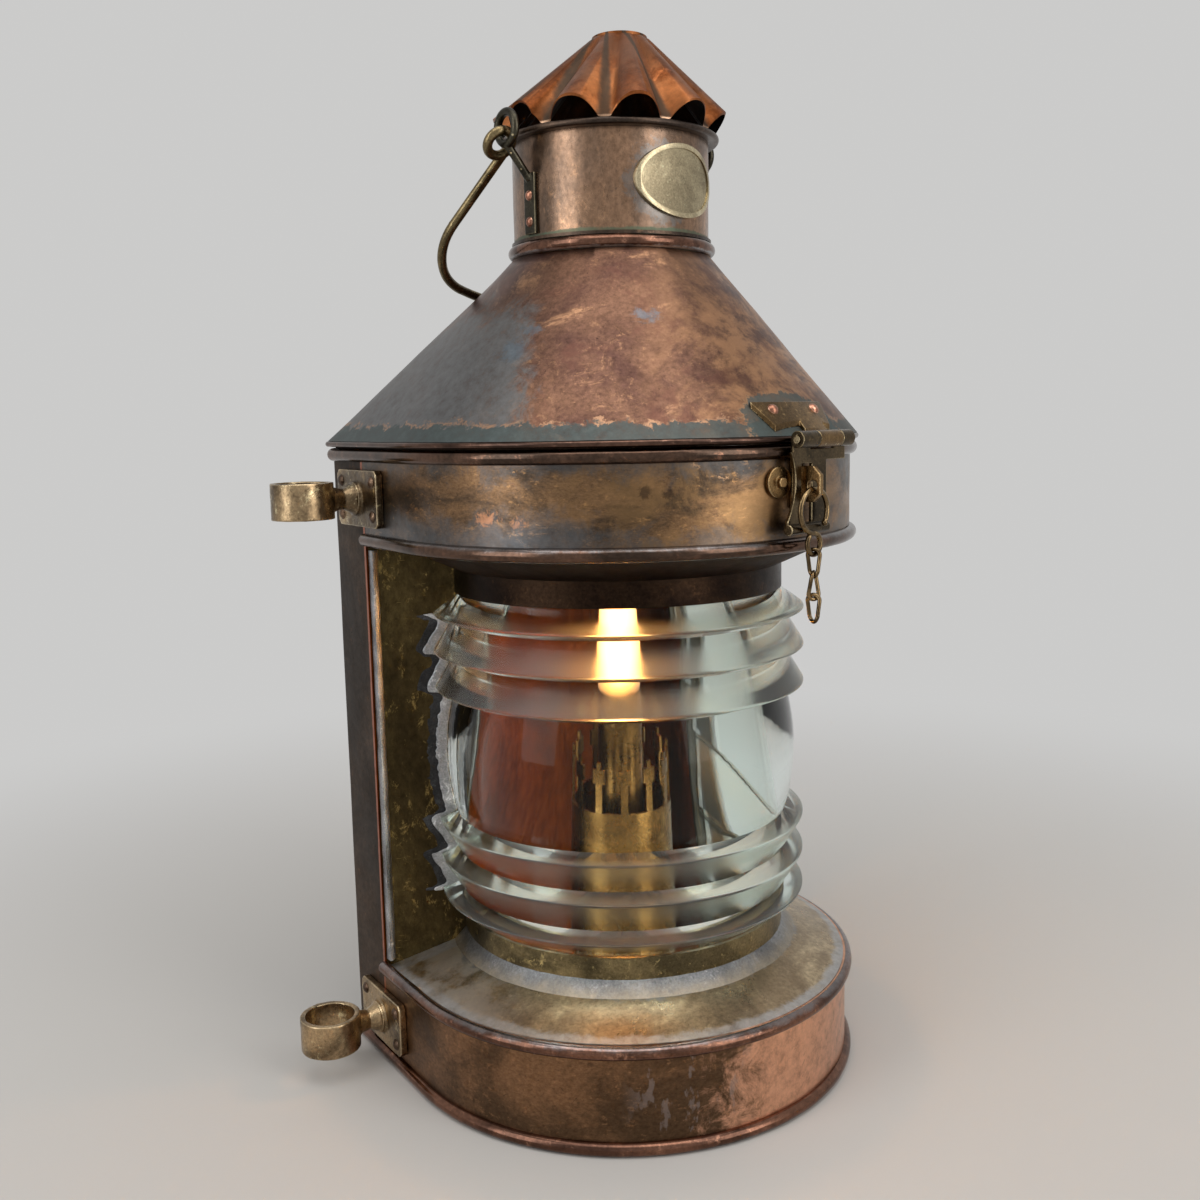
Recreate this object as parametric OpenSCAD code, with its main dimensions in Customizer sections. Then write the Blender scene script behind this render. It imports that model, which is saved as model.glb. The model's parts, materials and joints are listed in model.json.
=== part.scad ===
// Ship's masthead lantern: a D-shaped copper body with a fluted lens over 225 degrees and a hinged hood.
// Millimetres. The origin is on the lens axis at the underside of the base, +Z is up and the front faces -Y.

/* [Body] */
// Radius of the front curve, and half the width of the body
wall_r = 126.5; // [118:0.5:136]
// Distance from the lens axis to the flat back
body_back = 98; // [92:1:104]
// Radius of the two rear corners
corner_r = 8; // [5:0.5:14]
// Thickness of the copper sheet
sheet = 1.2; // [0.8:0.1:1.6]
// Radius of the half-round beads round the base and the drum
bead_r = 3.6; // [2.6:0.1:4.4]
// Height of the base band
base_h = 57; // [50:1:66]
// Rise of the base top from the band to the lower collar
base_rise = 12; // [8:0.5:16]
// Rise of the soffit from the upper collar to the drum wall
soffit_rise = 16.5; // [12:0.5:20]
// Height of the drum band
drum_h = 52; // [48:1:60]
// Angle of each screen from the front
screen_angle = 112.5; // [109:0.5:116]
// Height of the hood seat above the drum
seat_up = 3; // [2:0.5:6]

/* [Lens] */
// Height of glass that shows between the collars
lens_show = 179; // [170:1:190]
// Radius of the glass at the roots of the flutes
lens_r = 93; // [88:0.5:97]
// Thickness of the glass at the roots
lens_t = 8; // [6:0.5:10]
// Depth of a flute from root to tip
flute_depth = 9.5; // [7:0.5:11]
// Height of one flute
flute_pitch = 20.5; // [18:0.5:22]
// Height of the steep face of a flute
flute_steep = 3.6; // [2:0.2:6]
// Width of the blunt edge of a flute
flute_edge = 1.2; // [0.6:0.1:2]
// Bulge of the plain belt in the middle
belt_bulge = 4.5; // [2:0.5:7]
// Depth of glass held in each collar
lens_hold = 6.5; // [4:0.5:8]
// Thickness of the collars
collar_t = 2; // [1.2:0.1:3]
// Height of collar that shows below the glass, and above it
collar_show = 15; // [11:0.5:19]
// Width of the solder ring round the lower collar
solder_w = 7; // [4:0.5:10]

/* [Guide rings] */
// Bore of a guide ring
ring_bore = 26.4; // [20:0.2:32]
// Wall of a guide ring
ring_wall = 3; // [2:0.2:5]
// Height of a guide ring
ring_h = 19; // [14:0.5:24]
// Distance from the body wall to a guide ring's axis
ring_out = 33.5; // [29:0.5:40]
// Width of a bracket plate
plate_w = 52; // [44:1:58]
// Height of a bracket plate
plate_h = 30; // [26:1:34]
// Thickness of a bracket plate
plate_t = 4; // [2.5:0.5:5]
// Height of the lower rings' middle above the floor
lower_ring_z = 26; // [24:0.5:30]
// Radius of a bracket rivet's head
rivet_r = 3.2; // [2:0.2:4]

/* [Hood] */
// Height of the hood from its rim wire to the neck
hood_h = 93.5; // [80:0.5:106]
// Overhang of the rim wire's middle beyond the drum wall
hood_over = 2.8; // [2.2:0.1:3.6]
// Radius of the rim wire
rim_wire_r = 1.5; // [1:0.1:2]
// Gap between the drum's upper bead and the rim wire
hood_gap = 0.7; // [0.4:0.1:1.5]
// Distance of the rear hinge's axis from the back
hinge_out = 9.5; // [9.2:0.1:12]
// Width of the rear hinge
hinge_w = 48; // [40:1:60]

/* [Neck and cowl] */
// Outside radius of the neck
neck_r = 52; // [48:0.5:56]
// Height of the neck
neck_h = 58; // [54:1:64]
// Turn of the bail's ears from the front, to the right
neck_turn = 5.5; // [0:0.5:10]
// Radius of the bead at the foot of the neck
neck_bead_r = 3.4; // [2.4:0.1:4.2]
// Overhang of the flange at the top of the neck
flange_over = 5.6; // [4:0.2:5.8]
// Thickness of that flange
flange_t = 3.4; // [2:0.2:5]
// Radius of the cowl at the ridges
cowl_r = 61.5; // [59:0.5:62]
// Radius of the cowl at the valleys
cowl_valley_r = 55; // [53:0.5:56.5]
// Height of an arch between two valleys
cowl_arch = 9.5; // [7:0.5:11]
// Height of the cowl above the flange
cowl_h = 51.5; // [44:0.5:58]
// Radius of the cowl's flat cap
cowl_cap_r = 16; // [12:0.5:20]
// Number of flutes
cowl_flutes = 11; // [9:1:13]
// Turn of a ridge of the cowl from the front, to the right
cowl_turn = -20; // [-30:1:30]
// Shift of the cap, where the old cowl is bent to one side
cowl_bend = 6; // [0:0.5:8]
// Width of the name plate
badge_w = 53; // [46:1:60]
// Height of the name plate
badge_h = 36; // [30:1:38]
// Turn of the name plate from the front, to the right
badge_turn = 9; // [0:1:12]

/* [Bail] */
// Distance of the ears' eyes from the neck
ear_out = 14.4; // [14:0.2:16]
// Radius of an ear's eye, to the middle of its wire
eye_r = 7.6; // [7.2:0.1:8.2]
// Thickness of the ears' wire
eye_wire = 4.2; // [3.4:0.1:4.6]
// Thickness of the bail's wire
bail_wire = 5; // [4:0.1:5.4]
// Radius of the bail's end eyes, to the middle of the wire
bail_eye_r = 6.8; // [6.5:0.1:7.2]
// Half of the bail's width
bail_half = 78; // [74:1:84]
// Distance from the pivot to the bail's grip
bail_reach = 105; // [100:1:108]
// Radius of the bail's corners
bail_bend = 31; // [26:1:36]
// Fall of the grip from its middle to a corner, in degrees
grip_turn = 20; // [14:1:26]
// Width of the ear straps
ear_w = 9; // [7:0.5:12]

/* [Hasp] */
// Turn of the hasp from the front, to the right
hasp_turn = 11; // [5:1:18]
// Length of the hasp's hinge
hasp_w = 41; // [38:1:46]
// Outside radius of the hinge knuckles
knuckle_r = 4; // [3.4:0.1:4.6]
// Radius of the hinge pins
pin_r = 1.6; // [1.2:0.1:2]
// Thickness of the hasp and its leaf
strap_t = 1.8; // [1.2:0.1:2.4]
// Width of the hasp
strap_w = 27; // [24:0.5:32]
// Length of the hasp below its hinge
strap_len = 42; // [39:0.5:46]
// Width of the slot in the hasp
slot_w = 8; // [6:0.5:10]
// Thickness of the staple
staple_t = 2.6; // [1.8:0.2:3.4]
// Height of the staple
staple_h = 17; // [15:0.5:18]
// Width of metal outside the hole in the staple
staple_rim = 1.6; // [1.2:0.1:1.8]
// Radius of the hole in the staple
staple_hole_r = 2.8; // [2.4:0.1:3.2]

/* [Hook and chain] */
// Thickness of the hook's wire
hook_wire = 2.6; // [2:0.1:3]
// Radius of the hook's upper loop, to the middle of the wire
hook_loop_r = 10.5; // [9.5:0.5:12]
// Radius of the hook's lower eye, to the middle of the wire
hook_eye_r = 5; // [4.4:0.2:6.4]
// Thickness of the chain's wire
link_wire = 2; // [1.6:0.1:2.2]
// Half width of a link, to the middle of the wire
link_r = 3; // [2.8:0.1:3.6]
// Length of a link's straight sides
link_side = 7; // [4:0.5:9]

/* [Lamp] */
// Radius of the oil font
font_r = 52; // [40:1:60]
// Height of the oil font
font_h = 70; // [60:1:76]
// Radius of the burner
burner_r = 28; // [24:0.5:32]
// Height of the burner's drum
burner_h = 60; // [50:1:66]
// Height of the gallery with its prongs
gallery_h = 35; // [30:1:40]
// Height of a prong above the gallery's hoop
prong_h = 21; // [16:1:24]
// Number of prongs on the gallery
prongs = 12; // [8:1:16]
// Radius of the bulb
bulb_r = 19; // [15:0.5:21]
// Length of the bulb's glass
bulb_h = 74; // [60:1:84]
// Radius of the wick knob
knob_r = 9; // [7:0.5:12]

/* [Hidden] */
$fn = 96;
big = 400;
// Gap between the pieces of a joint that only swing past each other
swing_gap = 0.2;
// Radial clearance of a pin in its knuckle
pin_gap = 0.06;
// Gap beside a knuckle
side_gap = 0.3;
// Room between the glass and its collars
glass_gap = 0.3;

// Heights, from the floor up
seam_y = wall_r * tan(screen_angle - 90);
lens_neck_t = 3.2;
collar_differ = 1.5;
flute_count = 3;
last_flute_less = 5;
collar_r = lens_r - lens_t + lens_neck_t + glass_gap + collar_t;
lens_neck_r = collar_r - collar_t - glass_gap;
lens_in_r = lens_r - lens_t;
collar_z = base_h + base_rise;
glass_z = collar_z + collar_show + collar_differ;
lens_mid_z = glass_z + lens_show / 2;
glass_top_z = glass_z + lens_show;
soffit_z = glass_top_z + collar_show - collar_differ;
drum_z = soffit_z + soffit_rise - bead_r;
drum_top = drum_z + drum_h;
base_slope = base_rise / (wall_r - collar_r);
soffit_slope = soffit_rise / (wall_r - collar_r);
belt_half = lens_show / 2 - flute_count * flute_pitch + last_flute_less;

// The hood's rim, cone and neck
hood_lap = 0.8;
neck_lap = 1;
rim_z = drum_top + hood_gap + rim_wire_r;
cone_z = rim_z + rim_wire_r;
cone_over = hood_over + hood_lap;
cone_r = wall_r + cone_over;
neck_z = cone_z + hood_h;
cone_top_r = neck_r + neck_lap;
cone_lean = atan2(cone_r - cone_top_r, hood_h);
back_lean = atan2(body_back + cone_over - cone_top_r, hood_h);
flange_z = neck_z + neck_h;
cowl_z = flange_z + flange_t;
cone_steps = 144;

// The rear hinge
hinge_y = body_back + hinge_out;
hinge_up = 1.5;
hinge_z = drum_top + hinge_up;
hinge_web_z = drum_top - 2 * bead_r - 5;
hinge_plate_h = 24;
hinge_leaf_h = 24;
hinge_rivet_in = 7;
hinge_tab = (hinge_w - 4 * side_gap) / 3;
leaf_t = 1.8;

// The bail's pivot, eyes, legs and grip
eye_x = neck_r + ear_out;
eye_up = 0.5;
eye_z = flange_z + flange_t / 2 + eye_up;
bail_eye = [eye_x + 0.6, eye_r + 0.8];
bail_room = 1;
sweep_gap = 0.5;
leg_turn = 40;
leg_foot = bail_eye + bail_eye_r * [-sin(leg_turn), cos(leg_turn)];
grip_r = (bail_half - bail_bend) / sin(grip_turn) + bail_bend;
bail_corner = [bail_half - bail_bend, bail_reach - grip_r + (grip_r - bail_bend) * cos(grip_turn)];
leg_run = bail_corner - leg_foot;
leg_lean = atan2(leg_run[1], leg_run[0]) - asin(bail_bend / norm(leg_run));
leg_len = sqrt(leg_run * leg_run - bail_bend * bail_bend);
hood_near = cone_top_r * cos(back_lean) - (eye_z - neck_z) * sin(back_lean);
bail_lean = 180 - back_lean - asin((hood_near + bail_wire / 2 + bail_room) / bail_reach);

// The hasp's hinge, strap and staple
hasp_gap = 0.9;
leaf_seat = 0.1;
hasp_up = 2;
staple_drop = 12.5;
hole_drop = 9.4;
slot_room = 1.2;
slot_foot = 3;
curl_r = 2.6;
left_knuckle = 13.5;
right_knuckle = 9.3;
hasp_shift = 4;
hasp_y = wall_r + hood_over + rim_wire_r + knuckle_r + hasp_gap;
hasp_z = drum_top + hasp_up;
knuckle_1 = hasp_shift - hasp_w / 2;
knuckle_2 = knuckle_1 + left_knuckle;
knuckle_4 = hasp_shift + hasp_w / 2;
knuckle_3 = knuckle_4 - right_knuckle;
strap_y = hasp_y - knuckle_r;
strap_x = -4;
staple_x = strap_x - 2;
staple_top = hasp_z - staple_drop;
staple_z = staple_top - staple_h;
hole_y = strap_y + strap_t + curl_r + hook_wire / 2 + side_gap;
hole_z = staple_top - hole_drop;
staple_r = hole_y + staple_hole_r + staple_rim;
slot_top = staple_top + slot_room;
slot_low = hasp_z - strap_len + slot_foot;
link_gap = 0.15;
hook_top = hole_z - staple_hole_r + hook_wire / 2 + swing_gap;
hook_mid = hook_top - hook_loop_r;
hook_eye_z = hook_mid - hook_loop_r - hook_eye_r;
link_top = hook_eye_z - hook_eye_r + (hook_wire + link_wire) / 2 + link_gap;
link_step = link_side + 2 * link_r - link_wire - link_gap;

// The lamp on its font
font_z = sheet;
burner_z = font_z + font_h;
gallery_z = burner_z + burner_h;
gallery_t = 1.8;
holder_r = 13;
holder_h = 50;
bulb_z = gallery_z + holder_h;
knob_z = burner_z + burner_h / 2;
knob_turn = 60;
knob_out = 52;

COPPER = [0.48, 0.27, 0.18];
DARK_COPPER = [0.33, 0.23, 0.17];
BRIGHT_COPPER = [0.68, 0.38, 0.22];
BRASS = [0.56, 0.47, 0.27];
DARK_BRASS = [0.36, 0.30, 0.16];
SOLDER = [0.55, 0.55, 0.54];
GLASS = [0.78, 0.86, 0.82, 0.4];
GLOW = [1.0, 0.85, 0.55];

// Outline of the body seen from above, drawn in by inset
module plan(inset = 0) {
  r = wall_r - inset;
  b = body_back - inset;
  c = corner_r - inset;
  intersection() {
    circle(r);
    translate([-r, -r]) square([2 * r, r + (b - c) / 2]);
  }
  translate([-r, 0]) square([2 * r, b - c]);
  translate([c - r, 0]) square([2 * (r - c), b]);
  for (side = [-1, 1]) translate([side * (r - c), b - c]) circle(c);
}

// Distance from the axis to that outline in the direction a
function plan_reach(a, inset) =
  let (r = wall_r - inset, b = body_back - inset, c = corner_r - inset, dx = abs(cos(a)), dy = sin(a))
  dy <= 0 ? r
  : r * dy <= (b - c) * dx ? r / dx
  : b * dx <= (r - c) * dy ? b / dy
  : let (along = dx * (r - c) + dy * (b - c))
    along + sqrt(along * along - pow(r - c, 2) - pow(b - c, 2) + c * c);

// A standing sheet on the outline, between two insets
module wall_ring(z, height, outer = 0, inner = sheet) {
  translate([0, 0, z]) linear_extrude(height) difference() {
    plan(outer);
    plan(inner);
  }
}

// What lies in front of the seams
module ahead_of_seam() {
  translate([-big / 2, seam_y - big, -big]) cube([big, big, 3 * big]);
}

// A turned piece that spans the lens, from screen to screen
module lens_sweep() {
  rotate(-90 - screen_angle) rotate_extrude(angle = 2 * screen_angle) children();
}

// Half of a round wire, flat against the wall
module half_round(r) {
  intersection() {
    circle(r);
    translate([0, -r]) square([r, 2 * r]);
  }
}

// The section given, run round the front curve and along both sides to the length run
module front_run(reach, run) {
  rotate(180) rotate_extrude(angle = 180) translate([reach, 0]) children();
  for (side = [0, 1]) mirror([side, 0, 0])
    translate([reach, 0, 0]) rotate([-90, 0, 0]) linear_extrude(run) children();
}

// The section given, run round the whole outline
module full_run(inset) {
  r = wall_r - inset;
  b = body_back - inset;
  c = corner_r - inset;
  front_run(r, b - c) children();
  for (side = [0, 1]) mirror([side, 0, 0])
    translate([r - c, b - c, 0]) rotate_extrude(angle = 90) translate([c, 0]) children();
  translate([c - r, b, 0]) rotate([90, 0, 90]) linear_extrude(2 * (r - c)) children();
}

// A bead on the front band, with rounded ends at the seams
module front_bead(z) {
  translate([0, 0, z]) {
    front_run(wall_r, seam_y) half_round(bead_r);
    for (side = [0, 1]) mirror([side, 0, 0]) intersection() {
      translate([wall_r, seam_y, 0]) sphere(bead_r);
      translate([wall_r, seam_y, -big / 2]) cube(big);
    }
  }
}

// A shell from rings of points, each ring joined to the next and the last to the first
module ring_shell(rings) {
  n = len(rings[0]);
  m = len(rings);
  faces = [for (j = [0 : m - 1], i = [0 : n - 1]) let (k = (j + 1) % m, l = (i + 1) % n)
    each [[j * n + i, k * n + i, k * n + l], [j * n + i, k * n + l, j * n + l]]];
  polyhedron([for (ring = rings) each ring], faces);
}

// A dome on the plane z = 0, sunk nowhere
module dome(r, height) {
  ball = (r * r + height * height) / (2 * height);
  intersection() {
    translate([0, 0, height - ball]) sphere(ball);
    translate([-r, -r, 0]) cube([2 * r, 2 * r, height + 1]);
  }
}

// Body sheets
module rear_shell() {
  color(DARK_COPPER) difference() {
    wall_ring(sheet, drum_top - sheet);
    ahead_of_seam();
  }
}

module base_floor() {
  color(DARK_COPPER) linear_extrude(sheet) plan();
}

module base_band() {
  color(COPPER) intersection() {
    wall_ring(sheet, base_h - sheet);
    ahead_of_seam();
  }
}

module base_lower_bead() {
  color(BRIGHT_COPPER) translate([0, 0, bead_r]) full_run(0) half_round(bead_r);
}

module base_upper_bead() {
  color(COPPER) front_bead(base_h - bead_r);
}

module drum_band() {
  color(COPPER) intersection() {
    wall_ring(drum_z, drum_h);
    ahead_of_seam();
  }
}

module drum_lower_bead() {
  color(COPPER) front_bead(drum_z + bead_r);
}

module drum_upper_bead() {
  color(COPPER) translate([0, 0, drum_top - bead_r]) full_run(0) half_round(bead_r);
}

// A cone of sheet from a collar to the walls, inside the body and ahead of the screens
corner_run = wall_r / cos(screen_angle - 90) - wall_r;
module cone_plate(z, slope) {
  far = wall_r + corner_run;
  rise = slope * (far - collar_r);
  intersection() {
    lens_sweep() polygon([[collar_r, z], [far, z + rise], [far, z + rise + sheet], [collar_r, z + sheet]]);
    translate([0, 0, -big]) linear_extrude(3 * big) plan(sheet);
  }
}

module base_top() {
  color(DARK_BRASS) cone_plate(collar_z - sheet, -base_slope);
}

module soffit() {
  color(DARK_COPPER) cone_plate(soffit_z, soffit_slope);
}

module hood_seat() {
  depth = 20;
  color(DARK_COPPER) wall_ring(drum_top + seat_up - depth, depth, sheet, 2 * sheet);
}

// Screens from the lens ends to the walls, with their solder
module screen() {
  low = base_h - base_slope * corner_run - 2;
  high = soffit_z + soffit_rise + soffit_slope * corner_run + 2;
  intersection() {
    rotate(screen_angle - 90) translate([lens_in_r - 1, 0, low]) cube([wall_r, sheet, high - low]);
    translate([0, 0, -big]) linear_extrude(3 * big) plan(sheet);
  }
}

module left_screen() {
  color(DARK_BRASS) mirror([1, 0, 0]) screen();
}

module right_screen() {
  color(DARK_BRASS) screen();
}

module screen_solder() {
  fillet = 5;
  low = base_h + 2;
  high = drum_z - 2;
  color(SOLDER) for (side = [0, 1]) mirror([side, 0, 0]) intersection() {
    translate([0, 0, low]) linear_extrude(high - low) difference() {
      intersection() {
        plan(sheet);
        translate([wall_r - sheet, seam_y - sheet * tan(screen_angle - 90)]) circle(fillet);
        translate([-big / 2, seam_y - big]) square(big);
      }
      rotate(screen_angle - 90) square(2 * big);
    }
    translate([wall_r - big - sheet, -big, 0]) cube(big + seam_y);
  }
}

// Glass: a plain belt between two sets of flutes, whose steep faces turn to the belt
module lens_profile() {
  top = lens_show / 2;
  end = top + lens_hold;
  tip_r = lens_r + flute_depth;
  belt_r = lens_r + belt_bulge;
  belt_ball = (belt_half * belt_half + belt_bulge * belt_bulge) / (2 * belt_bulge);
  teeth = [for (k = [0 : flute_count - 1]) let (z = belt_half + k * flute_pitch)
    each [[lens_r, z], [tip_r, z + flute_steep], [tip_r, z + flute_steep + flute_edge]]];
  upper = concat([[belt_r, belt_half]], teeth, [[lens_neck_r, top], [lens_neck_r, end], [lens_in_r, end]]);
  lower = [for (i = [len(upper) - 1 : -1 : 0]) [upper[i][0], -upper[i][1]]];
  difference() {
    polygon(concat(lower, upper));
    difference() {
      translate([lens_in_r, -belt_half]) square([lens_t + belt_bulge + 1, 2 * belt_half]);
      translate([belt_r - belt_ball, 0]) circle(belt_ball, $fn = 240);
    }
  }
}

module lens() {
  color(GLASS) translate([0, 0, lens_mid_z]) lens_sweep() lens_profile();
}

module lower_collar() {
  ledge_t = 1.5;
  foot = collar_z - 5;
  color(DARK_BRASS) lens_sweep() {
    translate([collar_r - collar_t, foot]) square([collar_t, glass_z - foot]);
    translate([lens_in_r, glass_z - lens_hold - ledge_t]) square([collar_r - lens_in_r, ledge_t]);
  }
}

module upper_collar() {
  color(DARK_BRASS) lens_sweep()
    translate([collar_r - collar_t, glass_top_z]) square([collar_t, soffit_z + 4 - glass_top_z]);
}

module collar_solder() {
  drop = solder_w * base_slope;
  color(SOLDER) lens_sweep()
    polygon([[collar_r, collar_z], [collar_r + solder_w, collar_z - drop], [collar_r, collar_z + 5]]);
}

// Guide rings: plate, waisted stub and ring in one casting, for the right side
module bracket(z) {
  corner = 2.5;
  boss_r = 9;
  boss_h = 2.5;
  stub_r = 8;
  waist_r = 5.4;
  flare_r = 7.4;
  ring_r = ring_bore / 2 + ring_wall;
  boss_x = plate_t + boss_h;
  ring_x = ring_out - ring_r;
  half_w = plate_w / 2;
  half_h = plate_h / 2;
  translate([wall_r, seam_y, z]) difference() {
    union() {
      rotate([90, 0, 90]) linear_extrude(plate_t) polygon([
        [corner - half_w, -half_h], [half_w - corner, -half_h], [half_w, corner - half_h], [half_w, half_h - corner],
        [half_w - corner, half_h], [corner - half_w, half_h], [-half_w, half_h - corner], [-half_w, corner - half_h]
      ]);
      rotate([0, 90, 0]) cylinder(h = boss_x, r = boss_r);
      translate([boss_x, 0, 0]) rotate([0, 90, 0]) cylinder(h = (ring_x - boss_x) / 2, r1 = stub_r, r2 = waist_r);
      translate([(boss_x + ring_x) / 2, 0, 0]) rotate([0, 90, 0])
        cylinder(h = (ring_x - boss_x) / 2 + ring_wall, r1 = waist_r, r2 = flare_r);
      translate([ring_out, 0, -ring_h / 2]) cylinder(h = ring_h, r = ring_r);
    }
    translate([ring_out, 0, -big / 2]) cylinder(h = big, r = ring_bore / 2);
  }
}

module upper_left_bracket() {
  color(BRASS) mirror([1, 0, 0]) bracket(drum_z + drum_h / 2);
}

module upper_right_bracket() {
  color(BRASS) bracket(drum_z + drum_h / 2);
}

module lower_left_bracket() {
  color(BRASS) mirror([1, 0, 0]) bracket(lower_ring_z);
}

module lower_right_bracket() {
  color(BRASS) bracket(lower_ring_z);
}

module bracket_rivets() {
  margin = 6;
  color(BRASS) for (side = [0, 1], z = [lower_ring_z, drum_z + drum_h / 2], y = [-1, 1], up = [-1, 1])
    mirror([side, 0, 0])
      translate([wall_r + plate_t, seam_y + y * (plate_w / 2 - margin), z + up * (plate_h / 2 - margin)])
        rotate([0, 90, 0]) dome(rivet_r, rivet_r / 2);
}

// Lock on the drum
module staple() {
  flange = 4;
  chamfer = 4;
  low = staple_z;
  color(BRASS) rotate(hasp_turn) translate([staple_x, 0, 0]) {
    rotate([90, 0, -90]) translate([0, 0, -staple_t / 2]) linear_extrude(staple_t) difference() {
      polygon([
        [wall_r - 1, low], [staple_r - chamfer, low], [staple_r, low + chamfer],
        [staple_r, low + staple_h - chamfer], [staple_r - chamfer, low + staple_h], [wall_r - 1, low + staple_h]
      ]);
      translate([hole_y, hole_z]) circle(staple_hole_r);
      translate([0, -big]) square([wall_r + 0.1, 3 * big]);
    }
  }
  color(BRASS) rotate(hasp_turn) difference() {
    intersection() {
      translate([0, 0, low - 3]) cylinder(h = staple_h + 6, r = wall_r + 2);
      translate([staple_x - flange, -big, low - 3]) cube([2 * flange, big, staple_h + 6]);
    }
    translate([0, 0, -big]) cylinder(h = 3 * big, r = wall_r);
  }
}

module chain_stud() {
  stud_turn = hasp_turn - 8.2;
  stud_z = hole_z + 2;
  disc_r = 7.5;
  color(BRASS) rotate(stud_turn) translate([0, -wall_r, stud_z]) rotate([90, 0, 0]) {
    cylinder(h = 2, r = disc_r);
    cylinder(h = 4.5, r = 2.4);
  }
}

// Rear hinge of the hood
module hinge_knuckle(from, to) {
  translate([from, hinge_y, hinge_z]) rotate([0, 90, 0]) difference() {
    cylinder(h = to - from, r = knuckle_r);
    translate([0, 0, -1]) cylinder(h = to - from + 2, r = pin_r + pin_gap);
  }
}

module hinge_lower_leaf() {
  inner = hinge_tab / 2 + side_gap;
  color(BRASS) {
    translate([-hinge_w / 2, body_back, hinge_web_z - hinge_plate_h + leaf_t])
      cube([hinge_w, leaf_t, hinge_plate_h]);
    translate([-hinge_w / 2, body_back, hinge_web_z]) cube([hinge_w, hinge_out + knuckle_r, leaf_t]);
    for (side = [0, 1]) mirror([side, 0, 0]) {
      hinge_knuckle(inner, hinge_w / 2);
      translate([inner, hinge_y + knuckle_r - leaf_t, hinge_web_z])
        cube([hinge_w / 2 - inner, leaf_t, hinge_z - hinge_web_z]);
    }
  }
}

module hinge_pin() {
  color(BRASS) translate([-hinge_w / 2 - 1, hinge_y, hinge_z]) rotate([0, 90, 0])
    cylinder(h = hinge_w + 2, r = pin_r);
}

module hinge_rivets() {
  top = hinge_web_z + leaf_t;
  color(COPPER) for (x = [-1, 1], z = [top - hinge_rivet_in, top - hinge_plate_h + hinge_rivet_in])
    translate([x * (hinge_w / 2 - hinge_rivet_in), body_back + leaf_t, z])
      rotate([-90, 0, 0]) dome(rivet_r, rivet_r / 2);
}

module hinge_upper_leaf() {
  foot = 5;
  color(BRASS) {
    hinge_knuckle(-hinge_tab / 2, hinge_tab / 2);
    translate([0, body_back + cone_over, cone_z]) rotate([back_lean, 0, 0]) {
      translate([-hinge_w / 2, 0, foot]) cube([hinge_w, leaf_t, hinge_leaf_h - foot]);
      translate([-hinge_tab / 2, 0, 3]) cube([hinge_tab, leaf_t, foot]);
    }
    lean = [sin(back_lean), cos(back_lean)];
    at = [body_back + cone_over, cone_z];
    heel = at + 3 * [-lean[0], lean[1]];
    translate([-hinge_tab / 2, 0, 0]) rotate([90, 0, 90]) linear_extrude(hinge_tab) polygon([
      heel, heel + 3 * [-lean[0], lean[1]] + leaf_t * [lean[1], lean[0]],
      [hinge_y + 1, hinge_z + knuckle_r - 0.6], [hinge_y - 2, hinge_z + pin_r + 1]
    ]);
  }
}

module hinge_leaf_rivets() {
  color(COPPER) translate([0, body_back + cone_over, cone_z]) rotate([back_lean, 0, 0])
    for (x = [-1, 1]) translate([x * (hinge_w / 2 - hinge_rivet_in), leaf_t, hinge_leaf_h - hinge_rivet_in])
      rotate([-90, 0, 0]) dome(rivet_r, rivet_r / 2);
}

// Hood and neck
function hood_ring(inset, z) = [for (i = [0 : cone_steps - 1])
  let (a = i * 360 / cone_steps, r = plan_reach(a, inset)) [r * cos(a), r * sin(a), z]];
function round_ring(r, z) = [for (i = [0 : cone_steps - 1])
  let (a = i * 360 / cone_steps) [r * cos(a), r * sin(a), z]];

module hood() {
  wall = 1.6;
  color(COPPER) ring_shell([
    hood_ring(-cone_over, cone_z), hood_ring(wall - cone_over, cone_z),
    round_ring(cone_top_r - wall, neck_z), round_ring(cone_top_r, neck_z)
  ]);
}

module hood_rim_wire() {
  color(DARK_COPPER) translate([0, 0, rim_z]) full_run(-hood_over) circle(rim_wire_r);
}

module neck() {
  color(COPPER) translate([0, 0, neck_z]) difference() {
    cylinder(h = neck_h, r = neck_r);
    translate([0, 0, -1]) cylinder(h = neck_h + 2, r = neck_r - sheet);
  }
}

module neck_bead() {
  color(BRIGHT_COPPER) translate([0, 0, neck_z + neck_bead_r])
    rotate_extrude() translate([neck_r, 0]) half_round(neck_bead_r);
}

module neck_ring() {
  ring_t = 1.2;
  color(DARK_COPPER) translate([0, 0, neck_z + 2 * neck_bead_r])
    rotate_extrude() translate([neck_r, 0]) square([ring_t, 1.6]);
}

module neck_flange() {
  edge = flange_t / 2;
  color(DARK_COPPER) translate([0, 0, flange_z]) rotate_extrude() {
    translate([neck_r - sheet, 0]) square([flange_over + sheet - edge, flange_t]);
    translate([neck_r + flange_over - edge, edge]) circle(edge);
  }
}

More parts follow.
